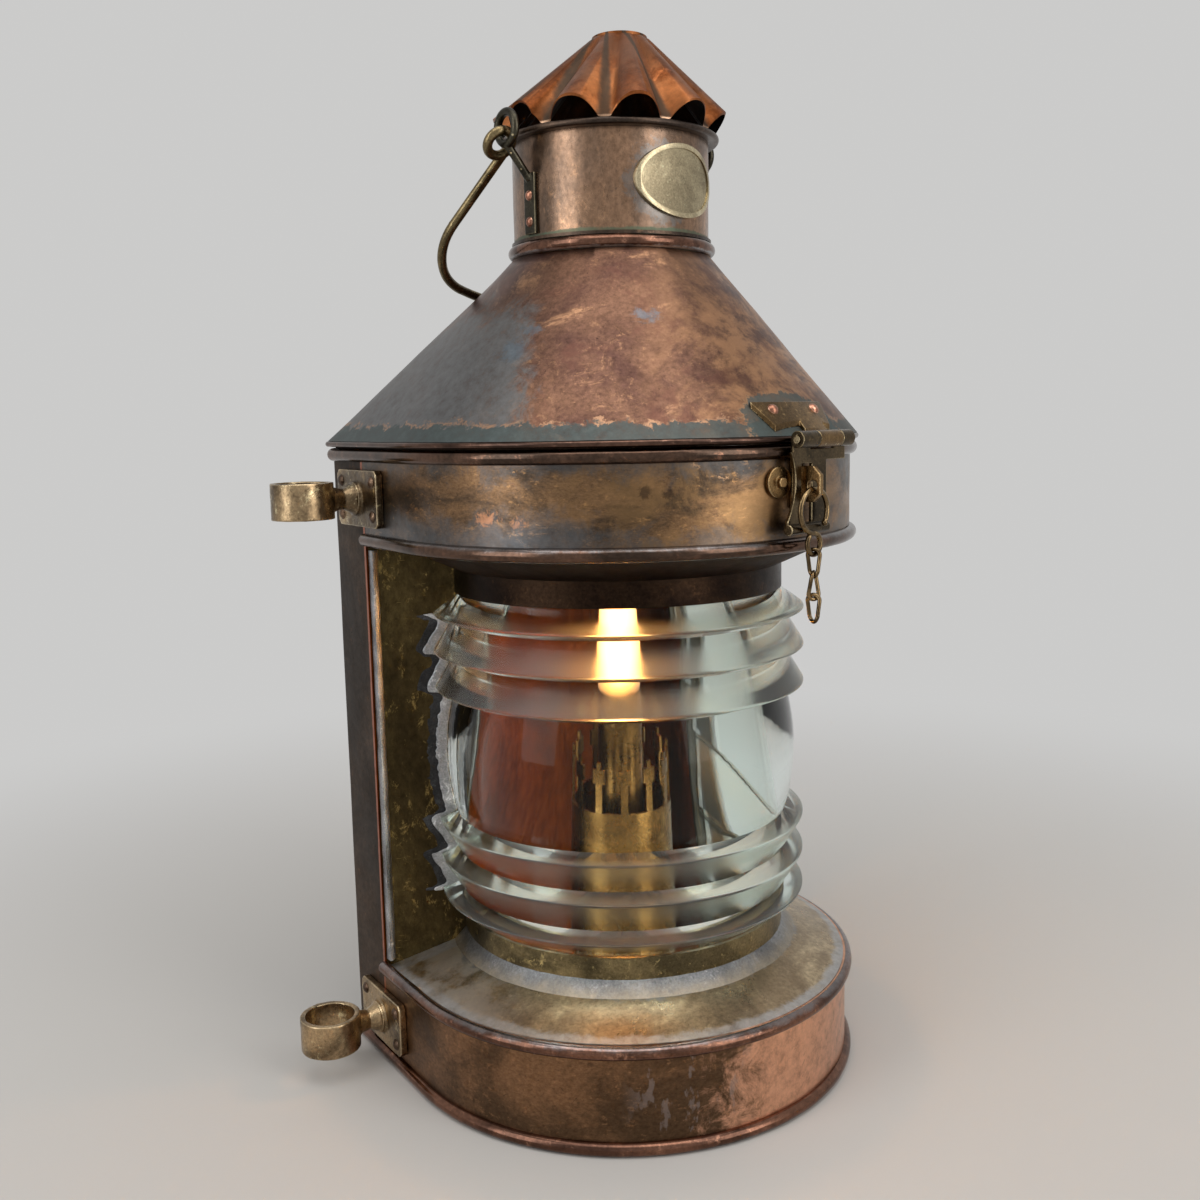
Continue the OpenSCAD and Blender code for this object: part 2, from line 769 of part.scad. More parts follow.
// Fluted cowl: round ridges that stand open over the flange, and flat valleys that rest on it
cowl_wall = 1.4;
flute_steps = 20;
valley_flat = 0.18;
ridge_round = 2.3;
bend_turn = -34;
function cowl_swell(i) =
  let (u = abs((i % flute_steps) * 2 / flute_steps - 1))
  max(0, 1 - pow((1 - u) / (1 - valley_flat), ridge_round));
function cowl_ring(ridge_r, valley_r, ridge_z, valley_z, bend = 0) = [for (i = [0 : flute_steps * cowl_flutes - 1])
  let (
    a = cowl_turn - 90 + i * 360 / (flute_steps * cowl_flutes),
    r = valley_r + (ridge_r - valley_r) * cowl_swell(i),
    z = valley_z + (ridge_z - valley_z) * cowl_swell(i)
  )
  [r * cos(a) + bend * cos(bend_turn), r * sin(a) + bend * sin(bend_turn), z]];

// The room that the bail's two eyes swing through
module bail_sweep() {
  rotate(neck_turn) translate([0, 0, eye_z]) for (side = [0, 1]) mirror([side, 0, 0]) rotate([0, 90, 0])
    rotate_extrude() intersection() {
      translate([bail_eye[1], bail_eye[0]]) circle(bail_eye_r + bail_wire / 2 + sweep_gap);
      square(big);
    }
}

module cowl() {
  rim = cowl_z + cowl_wall;
  top = cowl_z + cowl_h - cowl_wall;
  hole = cowl_cap_r - 4;
  color(BRIGHT_COPPER) difference() {
    ring_shell([
      cowl_ring(cowl_r, cowl_valley_r, rim + cowl_arch, rim),
      cowl_ring(cowl_r - 0.5, cowl_valley_r - 0.5, rim + cowl_arch - cowl_wall, cowl_z),
      cowl_ring(hole, hole, top - cowl_wall, top - cowl_wall, cowl_bend),
      cowl_ring(hole, hole, top, top, cowl_bend),
      cowl_ring(cowl_cap_r, cowl_cap_r - 1, top, top, cowl_bend)
    ]);
    bail_sweep();
  }
}

module cowl_cap() {
  top = cowl_z + cowl_h - cowl_wall;
  color(BRIGHT_COPPER) translate([cowl_bend * cos(bend_turn), cowl_bend * sin(bend_turn), top])
    cylinder(h = cowl_wall, r = cowl_cap_r - 1.5);
}

// Bare oval plate with a raised rim, bent round the neck
module oval(w, h) {
  steps = 48;
  polygon([for (i = [0 : steps - 1]) [w / 2 * cos(i * 360 / steps), h / 2 * sin(i * 360 / steps)]]);
}

module badge_layer(w, h, t) {
  badge_z = neck_z + 2 * neck_bead_r + (neck_h - 2 * neck_bead_r) / 2 + 1;
  intersection() {
    translate([0, 0, badge_z]) rotate([90, 0, 0]) linear_extrude(big) oval(w, h);
    translate([0, 0, neck_z]) cylinder(h = neck_h, r = neck_r + t);
  }
}

module name_plate() {
  rim = 2.4;
  color(BRASS) rotate(badge_turn) difference() {
    badge_layer(badge_w, badge_h, 2);
    difference() {
      badge_layer(badge_w - 2 * rim, badge_h - 2 * rim, 3);
      translate([0, 0, neck_z]) cylinder(h = neck_h, r = neck_r + 1.2);
    }
    translate([0, 0, neck_z - 1]) cylinder(h = neck_h + 2, r = neck_r);
  }
}

// Ears: a strap on the neck, drawn out into a wire eye, for the right side
module ear() {
  foot = neck_z + 2 * neck_bead_r + 3;
  top = foot + 30;
  strap = 1.8;
  reach = [eye_x, eye_z - eye_r];
  start = [neck_r + strap / 2 + 0.4, top - 3];
  shank = reach - start;
  difference() {
    union() {
      intersection() {
        translate([0, 0, foot]) cylinder(h = top - foot, r = neck_r + strap);
        translate([0, -ear_w / 2, foot]) cube([big, ear_w, top - foot]);
      }
      translate([start[0], 0, start[1]]) rotate([0, atan2(shank[0], shank[1]), 0])
        cylinder(h = norm(shank), r = eye_wire / 2);
      translate([eye_x, 0, eye_z]) rotate([0, 90, 0])
        rotate_extrude() translate([eye_r, 0]) circle(eye_wire / 2, $fn = 48);
    }
    translate([0, 0, neck_z]) cylinder(h = neck_h, r = neck_r);
  }
}

module left_ear() {
  color(DARK_BRASS) rotate(neck_turn) mirror([1, 0, 0]) ear();
}

module right_ear() {
  color(DARK_BRASS) rotate(neck_turn) ear();
}

module ear_rivets() {
  foot = neck_z + 2 * neck_bead_r + 3;
  strap = 1.8;
  lower_up = 6;
  upper_up = 19;
  head_r = 2.6;
  head_h = 1.6;
  color(BRIGHT_COPPER) rotate(neck_turn) for (side = [0, 1], up = [lower_up, upper_up]) mirror([side, 0, 0])
    translate([neck_r + strap, 0, foot + up]) rotate([0, 90, 0]) dome(head_r, head_h);
}

// Bail: one flat bend of wire with an eye at each end, leaning back on the hood
module bail() {
  r = bail_wire / 2;
  weld = 0.08;
  leg_top = leg_foot + leg_len * [cos(leg_lean), sin(leg_lean)];
  grip_end = bail_corner + bail_bend * [sin(grip_turn), cos(grip_turn)];
  color(BRASS) rotate(neck_turn) translate([0, 0, eye_z]) rotate([90 - bail_lean, 0, 0]) {
    translate([0, bail_reach - grip_r, 0]) rotate(90 - grip_turn)
      rotate_extrude(angle = 2 * grip_turn) translate([grip_r, 0]) circle(r, $fn = 48);
    for (side = [0, 1]) mirror([side, 0, 0]) {
      translate(bail_corner) rotate(leg_lean - 90) rotate_extrude(angle = 180 - grip_turn - leg_lean)
        translate([bail_bend, 0]) circle(r, $fn = 48);
      translate(leg_foot) rotate(leg_lean) rotate([0, 90, 0]) cylinder(h = leg_len, r = r, $fn = 48);
      translate(bail_eye) rotate_extrude() translate([bail_eye_r, 0]) circle(r, $fn = 48);
      for (at = [leg_foot, leg_top, grip_end]) translate(at) sphere(r + weld);
    }
  }
}

// Hasp and its hinge, turned to their place on the front
module hasp_knuckle(from, to) {
  translate([from, -hasp_y, hasp_z]) rotate([0, 90, 0]) difference() {
    cylinder(h = to - from, r = knuckle_r);
    translate([0, 0, -1]) cylinder(h = to - from + 2, r = pin_r + pin_gap);
  }
}

// The solid under a cone that lies t outside the hood's front
module hood_cone(t) {
  lift = t / sin(cone_lean);
  skirt = 10;
  translate([0, 0, cone_z + lift - skirt])
    cylinder(h = hood_h + skirt, r1 = cone_r + skirt * tan(cone_lean), r2 = cone_top_r);
}

module hasp_leaf() {
  wing = 27;
  foot = 21.5;
  corner = 4;
  leaf_h = 16;
  foot_in = 3.3;
  tip_in = 13.5;
  lap = 7;
  low = cone_r - foot_in;
  tip = cone_r - tip_in;
  color(BRASS) rotate(hasp_turn) {
    difference() {
      intersection() {
        hood_cone(leaf_seat + strap_t);
        translate([0, 0, cone_z]) linear_extrude(leaf_h) {
          polygon([
            [-foot, -low], [foot, -low], [wing, -tip], [wing - corner, corner - tip],
            [wing - corner, leaf_h - tip], [corner - wing, leaf_h - tip], [corner - wing, corner - tip], [-wing, -tip]
          ]);
          translate([knuckle_2 + side_gap, -cone_r]) square([knuckle_3 - knuckle_2 - 2 * side_gap, leaf_h]);
        }
      }
      hood_cone(leaf_seat);
    }
    difference() {
      translate([knuckle_2 + side_gap, -hasp_y, hasp_z + knuckle_r - strap_t])
        cube([knuckle_3 - knuckle_2 - 2 * side_gap, hasp_y - cone_r + lap, strap_t]);
      hood_cone(leaf_seat);
      translate([-hasp_w, -hasp_y, hasp_z]) rotate([0, 90, 0]) cylinder(h = 2 * hasp_w, r = pin_r + pin_gap);
    }
    hasp_knuckle(knuckle_2 + side_gap, knuckle_3 - side_gap);
  }
}

module hasp_leaf_rivets() {
  spread = 7.5;
  rivet_in = 9.3;
  head_r = 3;
  head_h = 1.8;
  ring_r = cone_r - rivet_in;
  height = cone_z + rivet_in / tan(cone_lean);
  color(BRIGHT_COPPER) rotate(hasp_turn) for (side = [-1, 1]) rotate(side * spread)
    translate([0, -ring_r, height]) rotate([90 - cone_lean, 0, 0])
      translate([0, 0, leaf_seat + strap_t]) dome(head_r, head_h);
}

module hasp_pin() {
  color(BRASS) rotate(hasp_turn) translate([knuckle_1, -hasp_y, hasp_z]) rotate([0, 90, 0])
    cylinder(h = hasp_w, r = pin_r);
}

module hasp() {
  low = hasp_z - strap_len;
  left = strap_x - strap_w / 2;
  right = strap_x + strap_w / 2;
  waist = 30;
  color(BRASS) rotate(hasp_turn) {
    hasp_knuckle(knuckle_1, knuckle_2);
    hasp_knuckle(knuckle_3, knuckle_4);
    difference() {
      union() {
        translate([knuckle_1, -strap_y - strap_t, hasp_z - knuckle_r - 6])
          cube([hasp_w, strap_t, knuckle_r + 6]);
        translate([left - 3, -strap_y - strap_t, low]) cube([strap_w + 3, strap_t, strap_len - 6]);
      }
      translate([knuckle_2 - side_gap, -big, hasp_z - knuckle_r - 0.6])
        cube([knuckle_3 - knuckle_2 + 2 * side_gap, 2 * big, big]);
      translate([left - waist + 3, -strap_y + 1, (low + hasp_z) / 2 + 1]) rotate([90, 0, 0])
        cylinder(h = 10, r = waist);
      translate([staple_x - slot_w / 2, -strap_y - strap_t - 1, slot_low])
        cube([slot_w, strap_t + 2, slot_top - slot_low]);
      translate([-hasp_w, -hasp_y, hasp_z]) rotate([0, 90, 0]) cylinder(h = 2 * hasp_w, r = pin_r + pin_gap);
    }
    translate([left - 3, -strap_y - strap_t, low]) rotate([0, 90, 0]) cylinder(h = strap_w + 3, r = curl_r);
  }
}

// Hook through the staple, and the rest of its chain
module at_hook() {
  rotate(hasp_turn) translate([staple_x, -hole_y, 0]) rotate([90, 0, 0]) children();
}

module safety_hook() {
  r = hook_wire / 2;
  mouth = 55;
  eye_gap = 42;
  color(BRASS) at_hook() {
    translate([0, hook_mid, 0]) {
      rotate(-90) mirror([0, 1, 0])
        rotate_extrude(angle = 360 - mouth) translate([hook_loop_r, 0]) circle(r, $fn = 32);
      rotate(mouth - 90) translate([hook_loop_r, 0, 0]) sphere(r + 0.3, $fn = 32);
    }
    translate([0, hook_eye_z, 0]) rotate(90) mirror([0, 1, 0])
      rotate_extrude(angle = 360 - eye_gap) translate([hook_eye_r, 0]) circle(r, $fn = 32);
  }
}

module chain_link(number, turn) {
  r = link_wire / 2;
  top = link_top - (number - 1) * link_step - link_r;
  color(BRASS) rotate(hasp_turn) translate([staple_x, -hole_y, 0]) rotate(turn) rotate([90, 0, 0]) {
    for (end = [0, 1]) translate([0, top - end * link_side, 0]) rotate(180 * end)
      rotate_extrude(angle = 180) translate([link_r, 0]) circle(r, $fn = 32);
    for (side = [-1, 1]) translate([side * link_r, top, 0]) rotate([90, 0, 0])
      cylinder(h = link_side, r = r, $fn = 32);
  }
}

module chain_link_1() {
  chain_link(1, 90);
}

module chain_link_2() {
  chain_link(2, 0);
}

module chain_link_3() {
  chain_link(3, 90);
}

// Lamp inside
module oil_font() {
  shoulder = 14;
  filler_r = 7;
  collar = burner_r + 3;
  mouth = burner_r - 6;
  color(DARK_BRASS) translate([0, 0, font_z]) {
    rotate_extrude() polygon([
      [0, 0], [font_r, 0], [font_r, font_h - shoulder], [collar, font_h], [mouth, font_h],
      [mouth, font_h - sheet], [collar - sheet, font_h - sheet], [font_r - sheet, font_h - shoulder - sheet],
      [font_r - sheet, sheet], [0, sheet]
    ]);
    translate([0, (font_r + burner_r) / 2, font_h - shoulder]) cylinder(h = shoulder + 2, r = filler_r);
  }
}

module knob_axis() {
  rotate(knob_turn) translate([0, 0, knob_z]) rotate([0, 90, 0]) children();
}

module burner() {
  wall = 1.5;
  bush = 6;
  bush_r = 4.5;
  rib_up = 7;
  rib_h = 3;
  rib_out = 1.5;
  color(BRASS) difference() {
    union() {
      translate([0, 0, burner_z]) rotate_extrude() {
        translate([burner_r - wall, 0]) square([wall, burner_h]);
        translate([0, burner_h - wall]) square([burner_r, wall]);
        translate([burner_r - wall, rib_up]) square([wall + rib_out, rib_h]);
      }
      knob_axis() translate([0, 0, burner_r - bush]) cylinder(h = 2 * bush, r = bush_r);
    }
    knob_axis() translate([0, 0, burner_r - 2 * bush]) cylinder(h = big, r = pin_r + pin_gap);
  }
}

module wick_knob() {
  knob_t = 4;
  color(BRASS) knob_axis() {
    translate([0, 0, burner_r - 7]) cylinder(h = knob_out - burner_r + 7, r = pin_r);
    translate([0, 0, knob_out - knob_t]) difference() {
      cylinder(h = knob_t, r = knob_r);
      for (i = [0 : 15]) rotate(i * 22.5) translate([knob_r + 0.4, 0, -1]) cylinder(h = knob_t + 2, r = 1.2);
    }
  }
}

// A piece of the gallery's crown: it spans a turn, from one height to another
module crown_piece(turn, low, high, inset) {
  rotate(-turn / 2) rotate_extrude(angle = turn) translate([burner_r - gallery_t + inset, low])
    square([gallery_t - 2 * inset, high - low]);
}

// Gallery: a hoop with a crown of spade-headed prongs
module burner_gallery() {
  hoop = gallery_h - prong_h;
  stem_turn = 8;
  head_turn = 15;
  point_turn = 5;
  head_h = 6;
  point_h = 3;
  bite = 1;
  head_top = gallery_h - point_h;
  color(BRASS) translate([0, 0, gallery_z]) {
    rotate_extrude() translate([burner_r - gallery_t, 0]) square([gallery_t, hoop]);
    for (i = [0 : prongs - 1]) rotate(i * 360 / prongs) {
      crown_piece(stem_turn, hoop - bite, head_top - bite, side_gap);
      crown_piece(head_turn, head_top - head_h, head_top, side_gap / 2);
      crown_piece(point_turn, head_top - bite, gallery_h, side_gap);
    }
  }
}

module lamp_holder() {
  wall = 1.5;
  color(DARK_BRASS) translate([0, 0, gallery_z]) rotate_extrude() {
    translate([holder_r - wall, 0]) square([wall, holder_h]);
    translate([0, holder_h - 2 * wall]) square([holder_r, 2 * wall]);
  }
}

module bulb_shape(skin) {
  base_r = holder_r - skin;
  mid = bulb_h - bulb_r;
  translate([0, skin]) square([base_r, mid]);
  intersection() {
    translate([0, mid]) circle(bulb_r - skin);
    square(2 * bulb_h);
  }
}

module bulb() {
  skin = 1;
  color(GLASS) translate([0, 0, bulb_z]) rotate_extrude() difference() {
    bulb_shape(0);
    bulb_shape(skin);
  }
}

module filament() {
  stem_r = 2.4;
  coil_r = 10.2;
  coil_t = 1.2;
  coil_h = 12;
  disc_t = 2;
  foot = 1;
  middle = bulb_h - bulb_r;
  disc_z = middle - coil_h / 2 - disc_t;
  color(GLOW) translate([0, 0, bulb_z]) {
    translate([0, 0, foot]) cylinder(h = disc_z, r = stem_r);
    translate([0, 0, middle]) rotate_extrude() translate([coil_r - coil_t, -coil_h / 2]) square([coil_t, coil_h]);
    translate([0, 0, disc_z]) cylinder(h = disc_t, r = coil_r);
  }
}

rear_shell();
base_floor();
base_band();
base_lower_bead();
base_upper_bead();
base_top();
drum_band();
drum_lower_bead();
drum_upper_bead();
soffit();
hood_seat();
left_screen();
right_screen();
screen_solder();
lens();
lower_collar();
upper_collar();
collar_solder();
upper_left_bracket();
upper_right_bracket();
lower_left_bracket();
lower_right_bracket();
bracket_rivets();
staple();
chain_stud();
hinge_lower_leaf();
hinge_pin();
hinge_rivets();
oil_font();
burner();
burner_gallery();
lamp_holder();
bulb();
filament();
wick_knob();
hood();
hood_rim_wire();
neck();
neck_bead();
neck_ring();
neck_flange();
cowl();
cowl_cap();
name_plate();
left_ear();
right_ear();
ear_rivets();
hinge_upper_leaf();
hinge_leaf_rivets();
hasp_leaf();
hasp_leaf_rivets();
hasp_pin();
hasp();
bail();
safety_hook();
chain_link_1();
chain_link_2();
chain_link_3();
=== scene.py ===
import json
import math

import bpy
from mathutils import Matrix, Vector

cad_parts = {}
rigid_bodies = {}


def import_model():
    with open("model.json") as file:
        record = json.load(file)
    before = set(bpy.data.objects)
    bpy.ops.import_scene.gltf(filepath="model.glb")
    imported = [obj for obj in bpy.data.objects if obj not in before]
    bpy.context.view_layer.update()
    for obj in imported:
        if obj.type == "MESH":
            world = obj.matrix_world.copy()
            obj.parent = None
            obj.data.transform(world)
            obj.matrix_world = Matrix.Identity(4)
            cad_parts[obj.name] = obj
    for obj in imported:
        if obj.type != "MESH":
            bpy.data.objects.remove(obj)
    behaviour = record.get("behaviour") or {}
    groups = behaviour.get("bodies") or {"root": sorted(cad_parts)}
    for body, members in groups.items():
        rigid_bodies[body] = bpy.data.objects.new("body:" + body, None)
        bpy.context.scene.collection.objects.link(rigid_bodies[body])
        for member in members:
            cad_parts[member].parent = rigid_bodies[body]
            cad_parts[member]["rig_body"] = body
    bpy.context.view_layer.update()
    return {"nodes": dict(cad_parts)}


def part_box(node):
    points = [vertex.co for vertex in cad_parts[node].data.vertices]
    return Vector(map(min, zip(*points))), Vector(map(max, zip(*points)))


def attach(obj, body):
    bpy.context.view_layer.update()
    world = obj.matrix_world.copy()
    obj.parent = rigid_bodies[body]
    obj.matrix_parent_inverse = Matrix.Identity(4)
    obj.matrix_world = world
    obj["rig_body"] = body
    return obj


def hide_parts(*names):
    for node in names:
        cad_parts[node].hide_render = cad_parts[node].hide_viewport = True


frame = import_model()
nodes = frame["nodes"]

# Camera: a hand-held picture from a little above the lantern's middle, 34 degrees to the left of the lens.
# Its place and lean were fitted to the rim, the beads and the collars.
view_turn = math.radians(34)
camera_away, camera_up = 0.6909, 0.3565
pitch, yaw, roll = (math.radians(a) for a in (8.282, 0.818, 1.118))
towards = Vector((-math.sin(view_turn), -math.cos(view_turn), 0))
photo_right = Vector((math.cos(view_turn), -math.sin(view_turn), 0))
turned = Matrix.Rotation(yaw - view_turn, 3, "Z")
aim = turned @ Matrix.Rotation(-pitch, 3, "X") @ Matrix.Rotation(roll, 3, "Y")
right, ahead, up = (aim.col[i].copy() for i in range(3))
bpy.ops.object.camera_add()
camera = bpy.context.object
camera.data.lens = 37.5
camera.data.sensor_width = 36
camera.data.clip_start = 0.01
stand = towards * camera_away + Vector((0, 0, camera_up))
camera.matrix_world = Matrix.Translation(stand) @ Matrix((right, up, -ahead)).transposed().to_4x4()
bpy.context.scene.camera = camera
bpy.context.scene.view_settings.view_transform = "Standard"


# Stage: a plain pale floor and a pale even room, with two tall soft lights beside the camera and one above.
# The room looks the same to the eye, to polished metal and through glass, and lights matt surfaces less.
# Away from the lantern the floor fades into the room, so that no horizon shows behind it.
def put(tree, kind, feeds=(), **settings):
    step = tree.nodes.new("ShaderNode" + kind)
    for name, value in settings.items():
        setattr(step, name, value)
    for socket, value in dict(feeds).items():
        if isinstance(value, bpy.types.NodeSocket):
            tree.links.new(value, step.inputs[socket])
        else:
            step.inputs[socket].default_value = value
    return step


def place(tree):
    return put(tree, "TexCoord").outputs["Object"]


def length(tree, vector):
    return put(tree, "VectorMath", {0: vector}, operation="LENGTH").outputs["Value"]


def seen_ray(tree):
    rays = put(tree, "LightPath").outputs
    seen = put(tree, "Math", {0: rays["Is Camera Ray"], 1: rays["Is Glossy Ray"]}, operation="MAXIMUM")
    seen = put(tree, "Math", {0: seen.outputs[0], 1: rays["Is Transmission Ray"]}, operation="MAXIMUM")
    return seen.outputs[0]


room_tone = (0.60, 0.598, 0.592, 1)
room = bpy.data.worlds.new("pale_room")
bpy.context.scene.world = room
room.use_nodes = True
level = put(room.node_tree, "MapRange", {"Value": seen_ray(room.node_tree), "To Min": 0.75, "To Max": 1.0})
sky = room.node_tree.nodes["Background"]
sky.inputs["Color"].default_value = room_tone
room.node_tree.links.new(level.outputs[0], sky.inputs["Strength"])

bpy.ops.object.select_all(action="DESELECT")
bpy.ops.mesh.primitive_plane_add(size=12, location=(0, 0, 0))
floor = bpy.context.object
floor.name = "pale_floor"
floor_paint = bpy.data.materials.new("floor_paint")
floor_paint.use_nodes = True
tree = floor_paint.node_tree
paint = tree.nodes["Principled BSDF"]
paint.inputs["Base Color"].default_value = (0.52, 0.50, 0.475, 1)
paint.inputs["Roughness"].default_value = 0.75
fade = put(tree, "MapRange", {"Value": length(tree, place(tree)), "From Min": 0.22, "From Max": 0.95})
fade.interpolation_type = "SMOOTHSTEP"
fade = put(tree, "Math", {0: fade.outputs[0], 1: seen_ray(tree)}, operation="MULTIPLY")
glow = put(tree, "Emission", {"Color": room_tone})
both = put(tree, "MixShader", {0: fade.outputs[0], 1: paint.outputs[0], 2: glow.outputs[0]})
tree.links.new(both.outputs[0], tree.nodes["Material Output"].inputs["Surface"])
floor.data.materials.append(floor_paint)


lamp_aim = Vector((0, 0, 0.3))


def soft_light(name, side, front, height, wide, tall, watts, tint):
    at = photo_right * side + towards * front + Vector((0, 0, height))
    lamp = bpy.data.lights.new(name, "AREA")
    lamp.shape = "RECTANGLE"
    lamp.size, lamp.size_y = wide, tall
    lamp.energy = watts
    lamp.color = tint
    box = bpy.data.objects.new(name, lamp)
    bpy.context.scene.collection.objects.link(box)
    box.location = at
    box.rotation_euler = (lamp_aim - at).to_track_quat("-Z", "Y").to_euler()
    box.visible_camera = False


soft_light(
    "left_window", side=-1.30, front=1.02, height=0.75, wide=0.75, tall=2.0, watts=12,
    tint=(0.96, 0.98, 1.0),
)
soft_light(
    "right_window", side=1.30, front=1.00, height=0.70, wide=0.75, tall=1.9, watts=13,
    tint=(1.0, 0.98, 0.95),
)
soft_light("ceiling", side=0.1, front=0.5, height=1.9, wide=1.8, tall=1.4, watts=16, tint=(1.0, 0.99, 0.98))


# Floor plate: a flat copper sheet, soldered into the bottom of the body and hidden from most sides.
# The aged look of all the copper and brass starts here: cloudy tarnish, patches rubbed back, fine scratches.
def shader_group(name, inputs, outputs):
    group = bpy.data.node_groups.new(name, "ShaderNodeTree")
    for label, kind in inputs:
        group.interface.new_socket(label, in_out="INPUT", socket_type="NodeSocket" + kind)
    for label, kind in outputs:
        group.interface.new_socket(label, in_out="OUTPUT", socket_type="NodeSocket" + kind)
    start = group.nodes.new("NodeGroupInput")
    end = group.nodes.new("NodeGroupOutput")
    return group, start.outputs, end.inputs


def times(tree, a, b):
    return put(tree, "Math", {0: a, 1: b}, operation="MULTIPLY").outputs[0]


def plus(tree, a, b):
    return put(tree, "Math", {0: a, 1: b}, operation="ADD").outputs[0]


def minus(tree, a, b):
    return put(tree, "Math", {0: a, 1: b}, operation="SUBTRACT").outputs[0]


def between(tree, value, low, high, at_low=0.0, at_high=1.0):
    feeds = {"Value": value, "From Min": low, "From Max": high, "To Min": at_low, "To Max": at_high}
    return put(tree, "MapRange", feeds, interpolation_type="SMOOTHSTEP").outputs[0]


def mixed(tree, share, first, second, how="MIX"):
    return put(tree, "Mix", {0: share, 6: first, 7: second}, data_type="RGBA", blend_type=how).outputs[2]


def clouds(tree, where, size, detail=6.0, rough=0.6, twist=0.0):
    feeds = {"Vector": where, "Scale": size, "Detail": detail, "Roughness": rough, "Distortion": twist}
    return put(tree, "TexNoise", feeds).outputs[0]


tarnish, ins, outs = shader_group(
    "tarnish",
    [("Dark", "Color"), ("Middle", "Color"), ("Rubbed", "Color")]
    + [(label, "Float") for label in ("Size", "Share", "Flatten", "Gloss")],
    [("Colour", "Color"), ("Roughness", "Float"), ("Height", "Float")],
)
pull = put(tarnish, "CombineXYZ", {0: 1.0, 1: 1.0, 2: ins["Flatten"]}).outputs[0]
where = put(tarnish, "VectorMath", {0: place(tarnish), 1: pull}, operation="MULTIPLY").outputs[0]
broad = clouds(tarnish, where, size=ins["Size"], detail=7.0, rough=0.62, twist=0.7)
shade = mixed(tarnish, between(tarnish, broad, 0.38, 0.62), ins["Dark"], ins["Middle"])
finer = clouds(tarnish, where, size=times(tarnish, ins["Size"], 2.3), detail=11.0, rough=0.76, twist=0.5)
bar = minus(tarnish, 0.74, times(tarnish, ins["Share"], 0.36))
worn = between(tarnish, finer, bar, plus(tarnish, bar, 0.10))
shade = mixed(tarnish, times(tarnish, worn, 0.85), shade, ins["Rubbed"])
flecks = clouds(tarnish, where, size=times(tarnish, ins["Size"], 9.0), detail=8.0, rough=0.80, twist=0.3)
shade = mixed(tarnish, between(tarnish, flecks, 0.56, 0.66, at_low=0.0, at_high=0.45), shade, ins["Rubbed"])
shade = mixed(tarnish, between(tarnish, flecks, 0.45, 0.36, at_low=0.0, at_high=0.60), shade, ins["Dark"])
grain = clouds(tarnish, where, size=times(tarnish, ins["Size"], 26.0), detail=4.0, rough=0.75)
speckle = put(
    tarnish, "MapRange",
    {"Value": grain, "From Min": 0.28, "From Max": 0.72, "To Min": 0.60, "To Max": 1.36},
)
grey = put(tarnish, "CombineColor", {i: speckle.outputs[0] for i in range(3)})
shade = mixed(tarnish, 1.0, shade, grey.outputs[0], "MULTIPLY")
pits = clouds(tarnish, where, size=times(tarnish, ins["Size"], 38.0), detail=3.0, rough=0.6)
pits = between(tarnish, pits, 0.66, 0.76)
shade = mixed(tarnish, times(tarnish, pits, 0.5), shade, (0.014, 0.010, 0.008, 1))
stretch = put(tarnish, "Mapping", {"Vector": where, "Rotation": (0.5, 0.35, 0.2), "Scale": (1, 1, 22)})
lines = clouds(tarnish, stretch.outputs[0], size=times(tarnish, ins["Size"], 9.0), detail=2.0, rough=0.5)
scratch = times(tarnish, between(tarnish, lines, 0.70, 0.76), between(tarnish, broad, 0.42, 0.6))
shade = mixed(tarnish, times(tarnish, scratch, 0.5), shade, ins["Rubbed"])
tarnish.links.new(shade, outs["Colour"])
dull = put(
    tarnish, "MapRange",
    {"Value": finer, "From Min": 0.3, "From Max": 0.75, "To Min": 0.16, "To Max": -0.06},
)
dull = plus(tarnish, plus(tarnish, dull.outputs[0], ins["Gloss"]), times(tarnish, pits, 0.2))
tarnish.links.new(dull, outs["Roughness"])
rise = plus(tarnish, times(tarnish, finer, 0.6), times(tarnish, grain, 0.25))
tarnish.links.new(plus(tarnish, rise, times(tarnish, pits, -0.4)), outs["Height"])


def aged_metal(name, dark, middle, rubbed, size=9.0, share=0.4, bump=0.10, flatten=1.0, gloss=0.36):
    finish = bpy.data.materials.new(name)
    finish.use_nodes = True
    tree = finish.node_tree
    shader = tree.nodes["Principled BSDF"]
    shader.inputs["Metallic"].default_value = 1.0
    age = put(tree, "Group", node_tree=tarnish)
    for label, colour in (("Dark", dark), ("Middle", middle), ("Rubbed", rubbed)):
        age.inputs[label].default_value = (*colour, 1)
    for label, value in (("Size", size), ("Share", share), ("Flatten", flatten), ("Gloss", gloss)):
        age.inputs[label].default_value = value
    relief = put(tree, "Bump", {"Height": age.outputs["Height"], "Strength": bump, "Distance": 0.001})
    tree.links.new(age.outputs["Colour"], shader.inputs["Base Color"])
    tree.links.new(age.outputs["Roughness"], shader.inputs["Roughness"])
    tree.links.new(relief.outputs[0], shader.inputs["Normal"])
    return finish


def alone(piece):
    if bpy.context.object and bpy.context.object.mode != "OBJECT":
        bpy.ops.object.mode_set(mode="OBJECT")
    bpy.ops.object.select_all(action="DESELECT")
    piece.select_set(True)
    bpy.context.view_layer.objects.active = piece


def open_mesh(piece, select="SELECT"):
    alone(piece)
    bpy.ops.object.mode_set(mode="EDIT")
    bpy.ops.mesh.select_all(action=select)


def close_mesh():
    bpy.ops.object.mode_set(mode="OBJECT")


def apply_all(piece):
    alone(piece)
    for modifier in list(piece.modifiers):
        bpy.ops.object.modifier_apply(modifier=modifier.name)


weld_gap = 0.00001


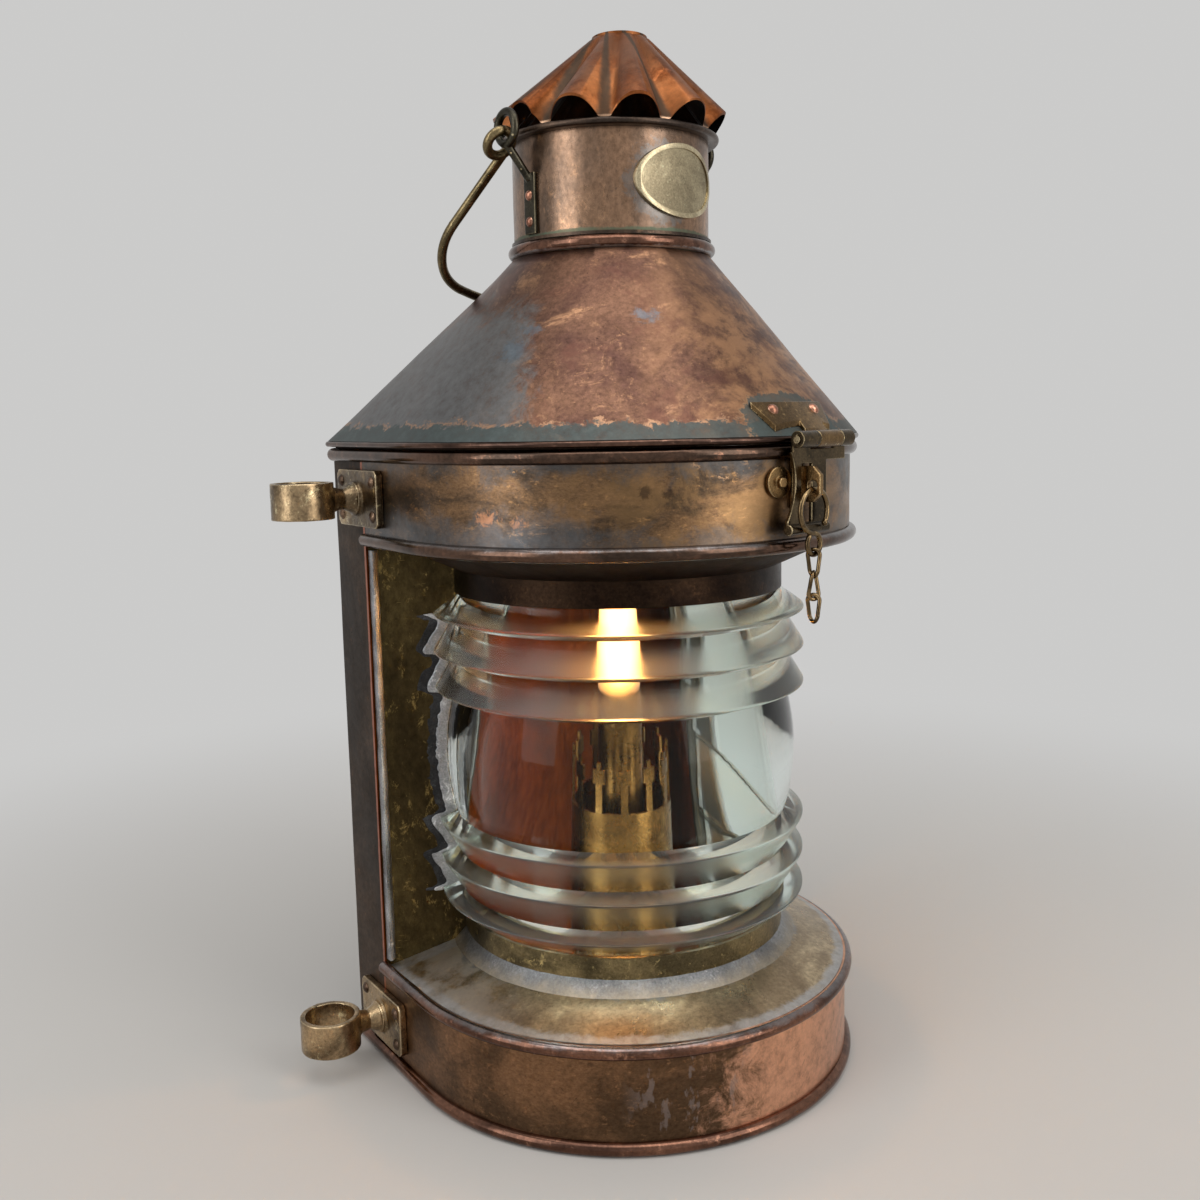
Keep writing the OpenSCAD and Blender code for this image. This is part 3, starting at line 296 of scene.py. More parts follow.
def copy_of(node, name):
    piece = bpy.data.objects.new(name, nodes[node].data.copy())
    bpy.context.scene.collection.objects.link(piece)
    alone(piece)
    bpy.ops.mesh.customdata_custom_splitnormals_clear()
    open_mesh(piece)
    bpy.ops.mesh.remove_doubles(threshold=weld_gap)
    close_mesh()
    return piece


def settle(piece, finish, node, smooth=38, stands=True):
    alone(piece)
    bpy.ops.object.shade_smooth_by_angle(angle=math.radians(smooth))
    piece.data.materials.clear()
    piece.data.materials.append(finish)
    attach(piece, nodes[node]["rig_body"])
    if stands:
        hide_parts(node)
    return piece


wall_copper = aged_metal(
    "wall_copper", (0.034, 0.023, 0.016), (0.073, 0.046, 0.030), (0.160, 0.080, 0.041),
    size=11, share=0.32, gloss=0.46,
)
settle(copy_of("base_floor", "floor_plate"), wall_copper, "base_floor")


# Rear shell: one copper sheet bent round the back and both sides, from the floor plate to the hood seat.
# Its front edges stand as seams, rubbed to red copper, where the bands and the screens are soldered to it.
# Solder, stains and worn patches on all the sheets have a ragged edge, which is made here.
def select_edges(piece, chosen):
    bpy.context.tool_settings.mesh_select_mode = (False, True, False)
    open_mesh(piece, "DESELECT")
    close_mesh()
    for index in chosen:
        piece.data.edges[index].select = True
    bpy.ops.object.mode_set(mode="EDIT")


def long_edges(piece, longest):
    spots = piece.data.vertices
    ends = [edge.vertices for edge in piece.data.edges]
    return [i for i, (a, b) in enumerate(ends) if (spots[a].co - spots[b].co).length > longest]


def cut_finer(piece, longest):
    open_mesh(piece)
    bpy.ops.mesh.tris_convert_to_quads(face_threshold=math.radians(30), shape_threshold=math.radians(180))
    close_mesh()
    for _ in range(6):
        chosen = long_edges(piece, longest)
        if not chosen:
            break
        select_edges(piece, chosen)
        bpy.ops.mesh.subdivide(number_cuts=1)
        close_mesh()


def dent(piece, depth, size):
    texture = bpy.data.textures.new(piece.name + "_dents", "CLOUDS")
    texture.noise_scale = size
    texture.noise_depth = 2
    push = piece.modifiers.new("dents", "DISPLACE")
    push.texture = texture
    push.texture_coords = "LOCAL"
    push.strength = depth
    push.mid_level = 0.65
    apply_all(piece)


ragged, ins, outs = shader_group(
    "ragged_edge",
    [("Level", "Float"), ("Rag", "Float"), ("Size", "Float"), ("Soft", "Float")],
    [("Mask", "Float"), ("Outline", "Float")],
)
where = place(ragged)
wander = clouds(ragged, where, size=ins["Size"], detail=9.0, rough=0.78, twist=0.6)
shift = times(ragged, minus(ragged, wander, 0.5), times(ragged, ins["Rag"], 4.0))
line = plus(ragged, ins["Level"], shift)
mask = between(ragged, line, times(ragged, ins["Soft"], -1.0), ins["Soft"])
ragged.links.new(mask, outs["Mask"])
beside = times(ragged, between(ragged, line, -0.0019, -0.0009), minus(ragged, 1.0, mask))
broken = between(ragged, clouds(ragged, where, size=85.0, detail=4.0, rough=0.6), 0.44, 0.56)
ragged.links.new(times(ragged, beside, broken), outs["Outline"])


def lay_over(finish, mask, colour, roughness=None):
    tree = finish.node_tree
    shader = tree.nodes["Principled BSDF"]
    under = shader.inputs["Base Color"].links[0].from_socket
    over = colour if isinstance(colour, bpy.types.NodeSocket) else (*colour, 1)
    tree.links.new(mixed(tree, mask, under, over), shader.inputs["Base Color"])
    if roughness is not None:
        under = shader.inputs["Roughness"].links[0].from_socket
        soft = put(tree, "Mix", {0: mask, 2: under, 3: roughness})
        tree.links.new(soft.outputs[0], shader.inputs["Roughness"])


def stain(finish, level, colour, rag=0.002, size=60.0, share=1.0, soft=0.0005, roughness=None, outline=None):
    tree = finish.node_tree
    edge = put(tree, "Group", {"Level": level, "Rag": rag, "Size": size, "Soft": soft}, node_tree=ragged)
    if outline:
        lay_over(finish, times(tree, edge.outputs["Outline"], 0.85), outline)
    if share:
        mottle = clouds(tree, place(tree), size=160.0, detail=9.0, rough=0.78)
        darker, paler = ((*(tone * c for c in colour), 1) for tone in (0.25, 1.75))
        body = between(tree, mottle, 0.30, 0.52, at_low=share * 0.70, at_high=share)
        body = times(tree, edge.outputs["Mask"], body)
        lay_over(finish, body, mixed(tree, mottle, darker, paler), roughness=roughness)


def along(tree, direction):
    feeds = {0: place(tree), 1: direction}
    return put(tree, "VectorMath", feeds, operation="DOT_PRODUCT").outputs["Value"]


seam_y, seam_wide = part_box("base_band")[1].y, 0.0022
tree = wall_copper.node_tree
front_edge = minus(tree, seam_y + seam_wide, along(tree, (0, 1, 0)))
stain(wall_copper, front_edge, (0.48, 0.17, 0.10), rag=0.0005, size=90, share=0.8, roughness=0.3)
back_sheet = copy_of("rear_shell", "back_and_sides")
cut_finer(back_sheet, longest=0.022)
dent(back_sheet, depth=0.0007, size=0.06)
settle(back_sheet, wall_copper, "rear_shell")
# The inside faces of the shell take a redder, brighter copper: painted warm lamp light on the interior.
painted_lamp_light_copper = aged_metal(
    "painted_lamp_light_copper", (0.091, 0.020, 0.005), (0.220, 0.051, 0.009), (0.439, 0.115, 0.023),
    size=12, share=0.36, gloss=0.50,
)
back_sheet.data.materials.append(painted_lamp_light_copper)
shell_middle = Vector((0, 0.02))
for face in back_sheet.data.polygons:
    face.material_index = 1 if face.normal.xy.dot(face.center.xy - shell_middle) < 0 else 0


# Base band and drum band: copper strips bent round the front and lapped on to the shell's edges.
# The base is dark bronze on the left, and on the right it is painted pink copper with grey runs, partly
# polish and partly a painted reflection of the light from the right.
def height(tree):
    return along(tree, (0, 0, 1))


def least(tree, a, b):
    return put(tree, "Math", {0: a, 1: b}, operation="MINIMUM").outputs[0]


def blotch(tree, centre, radius, taller=1.0):
    off = put(tree, "VectorMath", {0: place(tree), 1: centre}, operation="SUBTRACT").outputs[0]
    off = put(tree, "VectorMath", {0: off, 1: (1, 1, 1 / taller)}, operation="MULTIPLY").outputs[0]
    return minus(tree, radius, length(tree, off))


base_copper = aged_metal(
    "base_copper", (0.094, 0.055, 0.031), (0.217, 0.117, 0.061), (0.435, 0.226, 0.110),
    size=15, share=0.38, flatten=1.5, gloss=0.30,
)
tree = base_copper.node_tree
across = along(tree, photo_right)
runs = put(tree, "Mapping", {"Vector": place(tree), "Scale": (1, 1, 0.45)})
runs = between(tree, clouds(tree, runs.outputs[0], size=110, detail=4.0, rough=0.6), 0.56, 0.62)
runs = times(tree, runs, between(tree, across, -0.004, 0.012))
runs = times(tree, runs, between(tree, across, 0.066, 0.050))
# Pink copper rising towards the right: partly polished copper, partly a painted reflection of the light from
# that side.
polish_and_reflection = plus(tree, times(tree, across, 0.55), -0.029)
stain(base_copper, polish_and_reflection, (0.74, 0.395, 0.25), rag=0.021, size=48, share=0.85, soft=0.009, roughness=0.28)
lay_over(base_copper, times(tree, runs, 0.36), (0.34, 0.29, 0.28), roughness=0.5)
cuts = put(tree, "Mapping", {"Vector": place(tree), "Rotation": (0.3, 0.9, 0.6)})
cuts = put(tree, "VectorMath", {0: cuts.outputs[0], 1: (1.0, 1.0, 14.0)}, operation="MULTIPLY").outputs[0]
cuts = between(tree, clouds(tree, cuts, size=95, detail=3.0, rough=0.6), 0.67, 0.72)
lay_over(base_copper, times(tree, cuts, 0.55), (0.06, 0.034, 0.022))
base_sheet = copy_of("base_band", "base_band_sheet")
cut_finer(base_sheet, longest=0.007)
dent(base_sheet, depth=0.0007, size=0.035)
settle(base_sheet, base_copper, "base_band")

drum_copper = aged_metal(
    "drum_copper", (0.058, 0.041, 0.029), (0.207, 0.119, 0.062), (0.504, 0.270, 0.113),
    size=20, share=0.46, flatten=2.0, gloss=0.27,
)
tree = drum_copper.node_tree
across = along(tree, photo_right)
ochre = clouds(tree, place(tree), size=26, detail=8.0, rough=0.68, twist=0.6)
ochre = times(tree, between(tree, ochre, 0.44, 0.58), between(tree, across, -0.05, 0.02))
lay_over(drum_copper, times(tree, ochre, 0.50), (0.34, 0.195, 0.085))
grey_side, grey_high = -0.012, 0.309
blue_grey = least(tree, minus(tree, grey_side, across), minus(tree, grey_high, height(tree)))
stain(drum_copper, blue_grey, (0.125, 0.128, 0.135), rag=0.014, size=60, share=0.55, soft=0.008)
for centre, radius in (((-0.1125, -0.0577, 0.3105), 0.0045), ((-0.1035, -0.0730, 0.3085), 0.0025)):
    stain(
        drum_copper, blotch(tree, centre, radius, taller=0.6), (0.50, 0.225, 0.11),
        rag=0.012, size=170, share=0.62, soft=0.0022, roughness=0.34,
    )
for centre, radius in (((-0.0594, -0.1116, 0.3231), 0.0030), ((-0.0495, -0.1164, 0.3222), 0.0021)):
    stain(
        drum_copper, blotch(tree, centre, radius), (0.05, 0.032, 0.022),
        rag=0.003, size=200, share=0.7, soft=0.0010,
    )
drum_low, drum_high = (corner.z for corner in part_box("drum_band"))
edge_band = 0.012
for level in (
    minus(tree, height(tree), drum_high - edge_band),
    minus(tree, drum_low + edge_band, height(tree)),
):
    stain(drum_copper, level, (0.085, 0.090, 0.095), rag=0.016, size=50, share=0.55, soft=0.006)
hanging = blotch(tree, (-0.0250, -0.1240, 0.3390), 0.0125, taller=0.8)
stain(drum_copper, hanging, (0, 0, 0), rag=0.007, size=110, share=0.0, outline=(0.42, 0.25, 0.14))
drum_sheet = copy_of("drum_band", "drum_band_sheet")
cut_finer(drum_sheet, longest=0.007)
dent(drum_sheet, depth=0.0007, size=0.035)
settle(drum_sheet, drum_copper, "drum_band")


# Beads: half-round copper wires soldered round the top and bottom of both bands.
# Handling keeps their outer face red, and the grey along the upper side of two of them is partly solder and
# partly a painted highlight.
def bead_finish(name, dark, middle, rubbed, node=None, grey_from=None):
    finish = aged_metal(name, dark, middle, rubbed, size=20, share=0.44, bump=0.04, flatten=1.0, gloss=0.13)
    if grey_from is not None:
        tree = finish.node_tree
        # Grey along the upper side: partly solder, partly a painted highlight where light falls on the top.
        top = minus(tree, height(tree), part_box(node)[1].z - grey_from)
        stain(finish, top, (0.30, 0.305, 0.315), rag=0.0020, size=45, share=0.5, soft=0.0012, roughness=0.30)
    return finish


bead_reds = (0.085, 0.044, 0.031), (0.20, 0.098, 0.064), (0.56, 0.29, 0.19)
bead_browns = (0.060, 0.040, 0.030), (0.14, 0.080, 0.055), (0.30, 0.155, 0.10)
for node, tones, grey_from in (
    ("base_lower_bead", bead_reds, None),
    ("base_upper_bead", bead_reds, 0.0012),
    ("drum_lower_bead", bead_browns, 0.0014),
    ("drum_upper_bead", bead_browns, None),
):
    wire = copy_of(node, node + "_wire")
    dent(wire, depth=0.0004, size=0.018)
    settle(wire, bead_finish(node + "_copper", *tones, node, grey_from), node, smooth=60)


# Base top: a shallow brass cone between the base band and the lower collar, worn brass whose pale gold is
# partly a painted sheen of the light on its upward face.
# Broad grey solder rings it inside and out, wiped on by hand, and runs along the feet of the screens.
# A pale film dulls its left side.
def from_axis(tree):
    flat = put(tree, "VectorMath", {0: place(tree), 1: (1, 1, 0)}, operation="MULTIPLY")
    return length(tree, flat.outputs[0])


solder_grey = (0.46, 0.47, 0.485)
# Colours raised well above the other brass: a painted golden sheen of the light falling on the upward face.
top_brass = aged_metal(
    "top_brass", (0.318, 0.246, 0.160), (0.541, 0.424, 0.270), (0.894, 0.726, 0.454),
    size=14, share=0.44, gloss=0.24,
)
tree = top_brass.node_tree
spot = put(tree, "SeparateXYZ", {0: place(tree)})
front = put(tree, "CombineXYZ", {0: spot.outputs[0], 1: least(tree, spot.outputs[1], 0.0)}).outputs[0]
rim_reach = length(tree, front)
brown = between(tree, clouds(tree, place(tree), size=13, detail=8.0, rough=0.68, twist=0.5), 0.44, 0.60)
lay_over(top_brass, times(tree, brown, 0.62), (0.17, 0.115, 0.068))
film = clouds(tree, place(tree), size=40, detail=8.0, rough=0.7)
film = times(tree, between(tree, film, 0.38, 0.56), between(tree, along(tree, photo_right), -0.040, -0.085))
lay_over(top_brass, times(tree, film, 0.7), (0.66, 0.62, 0.56), roughness=0.45)
rim_solder_r, collar_solder_r = 0.1208, 0.0970
stain(
    top_brass, minus(tree, rim_reach, rim_solder_r), solder_grey,
    rag=0.0034, size=80, share=0.75, soft=0.0016, roughness=0.45,
)
stain(
    top_brass, minus(tree, collar_solder_r, from_axis(tree)), (0.27, 0.275, 0.28),
    rag=0.0060, size=42, share=0.8, soft=0.0020, roughness=0.40,
)
screen_turn = math.radians(112.5)
foot_wide = 0.011
for side in (-1, 1):
    foot = plus(tree, along(tree, (side * math.cos(screen_turn), math.sin(screen_turn), 0)), foot_wide)
    foot = least(tree, foot, times(tree, spot.outputs[0], side))
    stain(top_brass, foot, solder_grey, rag=0.0030, size=80, share=0.8, soft=0.0016, roughness=0.45)
settle(copy_of("base_top", "base_top_cone"), top_brass, "base_top", smooth=30)

# Soffit and hood seat: the plate under the drum, and the upstand that the hood drops over.
# Both are copper sheet, soldered inside the drum, and painted nearly black as painted shade.
# Near-black copper: painted shade for faces under the drum, inside the seat and inside the cowl.
painted_shade_copper = aged_metal(
    "painted_shade_copper", (0.016, 0.011, 0.009), (0.036, 0.023, 0.016), (0.10, 0.055, 0.032),
    size=12, share=0.3, gloss=0.55,
)
for node in ("soffit", "hood_seat"):
    settle(copy_of(node, node + "_sheet"), painted_shade_copper, node, smooth=30)

# Screens: two brass plates from the ends of the lens to the walls, dark olive, with gold where rubbed.
# A fillet of solder holds each to its wall.
screen_brass = aged_metal(
    "screen_brass", (0.033, 0.023, 0.010), (0.077, 0.055, 0.022), (0.46, 0.315, 0.105),
    size=13, share=0.44, flatten=0.6,
)
grey_solder = aged_metal(
    "grey_solder", (0.270, 0.274, 0.281), (0.486, 0.490, 0.499), (0.837, 0.837, 0.851),
    size=40, share=0.5, bump=0.3,
)
for node in ("left_screen", "right_screen"):
    settle(copy_of(node, node + "_plate"), screen_brass, node)
wall_run = copy_of("screen_solder", "wall_solder_run")
cut_finer(wall_run, longest=0.004)
dent(wall_run, depth=0.0012, size=0.008)
settle(wall_run, grey_solder, "screen_solder", smooth=60)


# Lens: one pressed glass, five-eighths of a circle, fluted outside so that each ring bends the light level.
# Its end face gives the profile, which is rounded at the tips, as by pressing, and spun about the axis.
# The tips are rubbed dull and carry a pale bloom, and the belt between them stays clear.
def window_glass(name, tint, waviness):
    finish = bpy.data.materials.new(name)
    finish.use_nodes = True
    tree = finish.node_tree
    shader = tree.nodes["Principled BSDF"]
    shader.inputs["Base Color"].default_value = (*tint, 1)
    shader.inputs["Roughness"].default_value = 0.04
    shader.inputs["IOR"].default_value = 1.46
    shader.inputs["Specular Tint"].default_value = (0.24, 0.26, 0.25, 1)
    shader.inputs["Transmission Weight"].default_value = 1.0
    ripple = clouds(tree, place(tree), size=45.0, detail=3.0, rough=0.5)
    relief = put(tree, "Bump", {"Height": ripple, "Strength": waviness, "Distance": 0.001})
    tree.links.new(relief.outputs[0], shader.inputs["Normal"])
    shadow = put(tree, "LightPath").outputs["Is Shadow Ray"]
    tree.links.new(minus(tree, 1.0, shadow), shader.inputs["Alpha"])
    return finish


lens_end, end_slack = Vector((math.cos(screen_turn), math.sin(screen_turn), 0)), 0.004


def lens_profile(name):
    piece = copy_of("lens", name)
    bpy.context.tool_settings.mesh_select_mode = (False, False, True)
    for face in piece.data.polygons:
        near_end = abs(face.center.dot(lens_end)) < end_slack
        face.select = not (near_end and face.normal.dot(lens_end) > 0.99)
    bpy.ops.object.mode_set(mode="EDIT")
    bpy.ops.mesh.delete(type="FACE")
    bpy.ops.mesh.select_all(action="SELECT")
    bpy.ops.mesh.dissolve_limited(angle_limit=math.radians(0.3))
    close_mesh()
    return piece


def select_corners(piece, wanted):
    bpy.context.tool_settings.mesh_select_mode = (True, False, False)
    open_mesh(piece, "DESELECT")
    close_mesh()
    for corner in piece.data.vertices:
        corner.select = wanted(corner.co)
    bpy.ops.object.mode_set(mode="EDIT")


lens = lens_profile("fluted_lens")
tip_band, tip_round = 0.0015, 0.0005
tip_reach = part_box("lens")[1].x - tip_band
lens_middle = (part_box("lens")[0].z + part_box("lens")[1].z) / 2
tips = [corner.co.z for corner in lens.data.vertices if corner.co.xy.length > tip_reach]
belt_half = min(abs(level - lens_middle) for level in tips)
select_corners(lens, lambda spot: spot.xy.length > tip_reach)
bpy.ops.mesh.bevel(offset=tip_round, segments=3, affect="VERTICES")
bpy.ops.mesh.select_all(action="SELECT")
bpy.ops.mesh.spin(steps=150, angle=2 * screen_turn, center=(0, 0, 0), axis=(0, 0, 1))
bpy.ops.mesh.select_all(action="SELECT")
bpy.ops.mesh.remove_doubles(threshold=weld_gap / 5)
bpy.ops.mesh.normals_make_consistent(inside=False)
close_mesh()
lens_glass = window_glass("lens_glass", (0.90, 0.965, 0.93), waviness=0.06)
tree = lens_glass.node_tree
from_middle = put(tree, "Math", {0: minus(tree, height(tree), lens_middle)}, operation="ABSOLUTE").outputs[0]
tip_depth, belt_edge = 0.009, 0.003
clear_glass, tip_dullness, tip_bloom = 0.03, 0.20, 0.6
flute_tips = between(tree, from_axis(tree), tip_reach - tip_depth, tip_reach)
flute_tips = times(tree, flute_tips, between(tree, from_middle, belt_half - belt_edge, belt_half))
surface = tree.nodes["Principled BSDF"].inputs
surface["Coat IOR"].default_value = 2.0
surface["Coat Roughness"].default_value = 0.55
surface["Coat Tint"].default_value = (0.92, 1.0, 0.95, 1)
tree.links.new(times(tree, flute_tips, tip_bloom), surface["Coat Weight"])
tree.links.new(plus(tree, times(tree, flute_tips, tip_dullness), clear_glass), surface["Roughness"])
settle(lens, lens_glass, "lens", smooth=30)

# Solder round the lens ends: tin wiped along the fluted edge of the glass where it stands on each screen.
# A burnt flux stain, dark and ragged, spreads on the brass beside it.
flux_stain = aged_metal(
    "flux_stain", (0.030, 0.030, 0.031), (0.062, 0.063, 0.066), (0.15, 0.15, 0.155),
    size=40, share=0.35, bump=0.2,
)
outwards = Vector((math.sin(screen_turn), -math.cos(screen_turn), 0))
bore_reach, collar_gap = 0.0905, 0.002
glass_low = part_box("lower_collar")[1].z + collar_gap
glass_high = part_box("upper_collar")[0].z - collar_gap


def beside_glass(spot):
    return spot.xy.length > bore_reach and glass_low < spot.z < glass_high


def end_run(name, wide, thick, finish, seed):
    piece = lens_profile(name)
    open_mesh(piece)
    bpy.ops.mesh.delete(type="ONLY_FACE")
    select_corners(piece, lambda spot: not beside_glass(spot))
    bpy.ops.mesh.delete(type="VERT")
    close_mesh()
    select_edges(piece, long_edges(piece, longest=0.003))
    bpy.ops.mesh.subdivide(number_cuts=5)
    bpy.ops.mesh.select_all(action="SELECT")
    for _ in range(3):
        bpy.ops.mesh.extrude_edges_move(TRANSFORM_OT_translate={"value": outwards * wide / 3})
        bpy.ops.transform.vertex_random(offset=wide * 0.10, seed=seed)
        bpy.ops.mesh.vertices_smooth(factor=0.35)
    close_mesh()
    for corner in piece.data.vertices:
        corner.co -= lens_end * (corner.co.dot(lens_end) + thick * 0.55)
    body = piece.modifiers.new("body", "SOLIDIFY")
    body.thickness = thick
    body.offset = 0
    soft = piece.modifiers.new("soft", "SUBSURF")
    soft.levels = soft.render_levels = 2
    apply_all(piece)
    open_mesh(piece)
    bpy.ops.mesh.normals_make_consistent(inside=False)
    close_mesh()
    dent(piece, depth=thick * 0.5, size=0.004)
    settle(piece, finish, "screen_solder", smooth=60, stands=False)
    other = bpy.data.objects.new(name + "_left", piece.data.copy())
    bpy.context.scene.collection.objects.link(other)
    open_mesh(other)
    bpy.ops.transform.resize(value=(-1, 1, 1), center_override=(0, 0, 0))
    bpy.ops.mesh.normals_make_consistent(inside=False)
    close_mesh()
    settle(other, finish, "screen_solder", smooth=60, stands=False)


end_run("flux_beside_glass", wide=0.0125, thick=0.0003, finish=flux_stain, seed=5)
end_run("solder_beside_glass", wide=0.0072, thick=0.0011, finish=grey_solder, seed=2)

# Collars: two spun rings that hold the glass top and bottom, the lower one bedded in solder on the base top.
# The lower is dark brass, with gold where the lacquer went, and the upper is painted nearly black as painted
# shade under the drum.
collar_brass = aged_metal(
    "collar_brass", (0.087, 0.070, 0.038), (0.246, 0.191, 0.096), (0.797, 0.623, 0.275),
    size=26, share=0.46, gloss=0.26,
)
# Near-black copper for the upper collar: painted shade under the drum.
crown_copper = aged_metal(
    "crown_copper", (0.013, 0.008, 0.006), (0.030, 0.017, 0.010), (0.084, 0.043, 0.021),
    size=20, share=0.36,
)
settle(copy_of("lower_collar", "lower_collar_ring"), collar_brass, "lower_collar", smooth=30)
settle(copy_of("upper_collar", "upper_collar_ring"), crown_copper, "upper_collar", smooth=30)
collar_run = copy_of("collar_solder", "collar_solder_ring")
dent(collar_run, depth=0.0010, size=0.009)
bed_solder = aged_metal(
    "bed_solder", (0.154, 0.155, 0.160), (0.254, 0.257, 0.262), (0.428, 0.428, 0.433),
    size=30, share=0.4, bump=0.25,
)
tree = bed_solder.node_tree
bed_edge = 0.0945
stain(
    bed_solder, minus(tree, from_axis(tree), bed_edge), (0.33, 0.275, 0.20),
    rag=0.0035, size=28, share=0.8, soft=0.0040,
)
settle(collar_run, bed_solder, "collar_solder", smooth=60)

# Lamp: a brass oil font with its burner and pronged gallery, turned over to electric light.
# The bulb in its holder is frosted and lit, and its warm light fills the copper inside of the body, whose
# inside faces also carry painted lamp light.
lamp_brass = aged_metal(
    "lamp_brass", (0.15, 0.070, 0.020), (0.32, 0.160, 0.048), (0.66, 0.40, 0.15),
    size=24, share=0.45, gloss=0.22,
)
for node in ("oil_font", "burner", "burner_gallery", "lamp_holder", "wick_knob"):
    settle(copy_of(node, node + "_brass"), lamp_brass, node, smooth=30)
bulb_glass = window_glass("bulb_glass", (1.0, 0.94, 0.82), waviness=0.02)
bulb_glass.node_tree.nodes["Principled BSDF"].inputs["Roughness"].default_value = 0.85
settle(copy_of("bulb", "frosted_bulb"), bulb_glass, "bulb", smooth=60)
warm_light = bpy.data.materials.new("warm_light")
warm_light.use_nodes = True
shader = warm_light.node_tree.nodes["Principled BSDF"]
shader.inputs["Emission Color"].default_value = (1.0, 0.42, 0.10, 1)
shader.inputs["Emission Strength"].default_value = 34
coil_low, coil_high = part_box("filament")
glow_r = coil_high.x
glow_mid = coil_high.z - glow_r
bpy.ops.object.select_all(action="DESELECT")
bpy.ops.mesh.primitive_uv_sphere_add(segments=32, ring_count=16, radius=glow_r, location=(0, 0, glow_mid))
glow = bpy.context.object
glow.name = "glowing_coil"
bpy.ops.object.transform_apply(location=True)
select_corners(glow, lambda spot: spot.z < glow_mid - 0.001)
bpy.ops.transform.translate(value=(0, 0, coil_low.z + 2 * glow_r - coil_high.z))
close_mesh()
settle(glow, warm_light, "filament", smooth=60)

# Guide-ring brackets: four brass castings, each a plate, a waisted neck and a ring, riveted to the walls.
# Castings have rounded corners and soft fillets, gone dull, and bright on the edges that are touched.
edge_rub, ins, outs = shader_group("edge_rub", [("Size", "Float")], [("Rubbed", "Float"), ("Crease_shade", "Float")])
bend = put(edge_rub, "NewGeometry").outputs["Pointiness"]
patchy = clouds(edge_rub, place(edge_rub), size=ins["Size"], detail=5.0, rough=0.65)
patchy = between(edge_rub, patchy, 0.32, 0.58)
edge_rub.links.new(times(edge_rub, between(edge_rub, bend, 0.515, 0.60), patchy), outs["Rubbed"])
# Crease_shade: concave creases, found from low pointiness, darkened as painted shade.
edge_rub.links.new(between(edge_rub, bend, 0.488, 0.43), outs["Crease_shade"])


def wear_edges(finish, bright, crease_shade, size=90.0, bright_share=0.8, crease_shade_share=0.7):
    tree = finish.node_tree
    wear = put(tree, "Group", {"Size": size}, node_tree=edge_rub)
    # Concave creases are darkened as painted shade, and convex edges are rubbed bright.
    lay_over(finish, times(tree, wear.outputs["Crease_shade"], crease_shade_share), crease_shade, roughness=0.6)
    lay_over(finish, times(tree, wear.outputs["Rubbed"], bright_share), bright, roughness=0.24)


def cast(node, name, grain, rounds):
    piece = copy_of(node, name)
    piece.data.remesh_voxel_size = grain
    bpy.ops.object.voxel_remesh()
    soften = piece.modifiers.new("soften", "SMOOTH")
    soften.factor = 0.5
    soften.iterations = rounds
    apply_all(piece)
    return piece


cast_brass = aged_metal(
    "cast_brass", (0.122, 0.085, 0.050), (0.463, 0.326, 0.184), (0.950, 0.809, 0.484),
    size=26, share=0.50, bump=0.22, gloss=0.24,
)
wear_edges(cast_brass, (0.92, 0.76, 0.50), (0.030, 0.023, 0.016), size=70, bright_share=0.95)
for node in ("upper_left_bracket", "upper_right_bracket", "lower_left_bracket", "lower_right_bracket"):
    casting = cast(node, node + "_casting", grain=0.0007, rounds=5)
    dent(casting, depth=0.0004, size=0.006)
    settle(casting, cast_brass, node, smooth=60)
rivet_brown = aged_metal(
    "rivet_brown", (0.07, 0.045, 0.032), (0.16, 0.10, 0.066), (0.36, 0.24, 0.15),
    size=60, share=0.45,
)
settle(copy_of("bracket_rivets", "bracket_rivet_heads"), rivet_brown, "bracket_rivets", smooth=60)

# Rear hinge: two brass leaves and a pin behind the drum, riveted to the shell and to the hood.
# The staple and the chain's stud on the front of the drum are of the same brass.
fitting_brass = aged_metal(
    "fitting_brass", (0.112, 0.068, 0.030), (0.275, 0.168, 0.072), (0.60, 0.40, 0.185),
    size=34, share=0.42, gloss=0.20,
)
wear_edges(fitting_brass, (0.80, 0.66, 0.40), (0.030, 0.023, 0.014))
for node in ("hinge_lower_leaf", "hinge_upper_leaf", "staple", "chain_stud"):
    settle(cast(node, node + "_brass", grain=0.0004, rounds=3), fitting_brass, node, smooth=60)
for node in ("hinge_pin", "hinge_rivets", "hinge_leaf_rivets"):
    settle(copy_of(node, node + "_brass"), fitting_brass, node, smooth=60)

# Hood: a copper cone beaten from sheet, with a wired rim, set over the seat and turning on the rear hinge.
# It is slate grey on one side and mottled brown and tan on the other, with a green-grey tide line at the rim.
hood_copper = aged_metal(
    "hood_copper", (0.082, 0.041, 0.033), (0.179, 0.094, 0.060), (0.410, 0.221, 0.121),
    size=15, share=0.52, bump=0.12, gloss=0.32,
)
tree = hood_copper.node_tree
across = along(tree, photo_right)
rise = height(tree)
hood_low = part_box("hood")[0].z
warm = clouds(tree, place(tree), size=22, detail=9.0, rough=0.72, twist=0.5)
warm = times(tree, between(tree, warm, 0.40, 0.56), between(tree, across, 0.0, 0.075))
lay_over(hood_copper, times(tree, warm, 0.80), (0.50, 0.265, 0.135))
ruddy = between(tree, clouds(tree, place(tree), size=17, detail=8.0, rough=0.70, twist=0.4), 0.50, 0.60)
lay_over(hood_copper, times(tree, ruddy, 0.62), (0.130, 0.058, 0.042))
slate_side, slate_high, tide_high, leaf_halo = -0.041, 0.064, 0.0075, 0.0335
slate = least(tree, minus(tree, slate_side, across), minus(tree, hood_low + slate_high, rise))
stain(hood_copper, slate, (0.145, 0.150, 0.151), rag=0.016, size=60, share=0.88, soft=0.008, roughness=0.42)
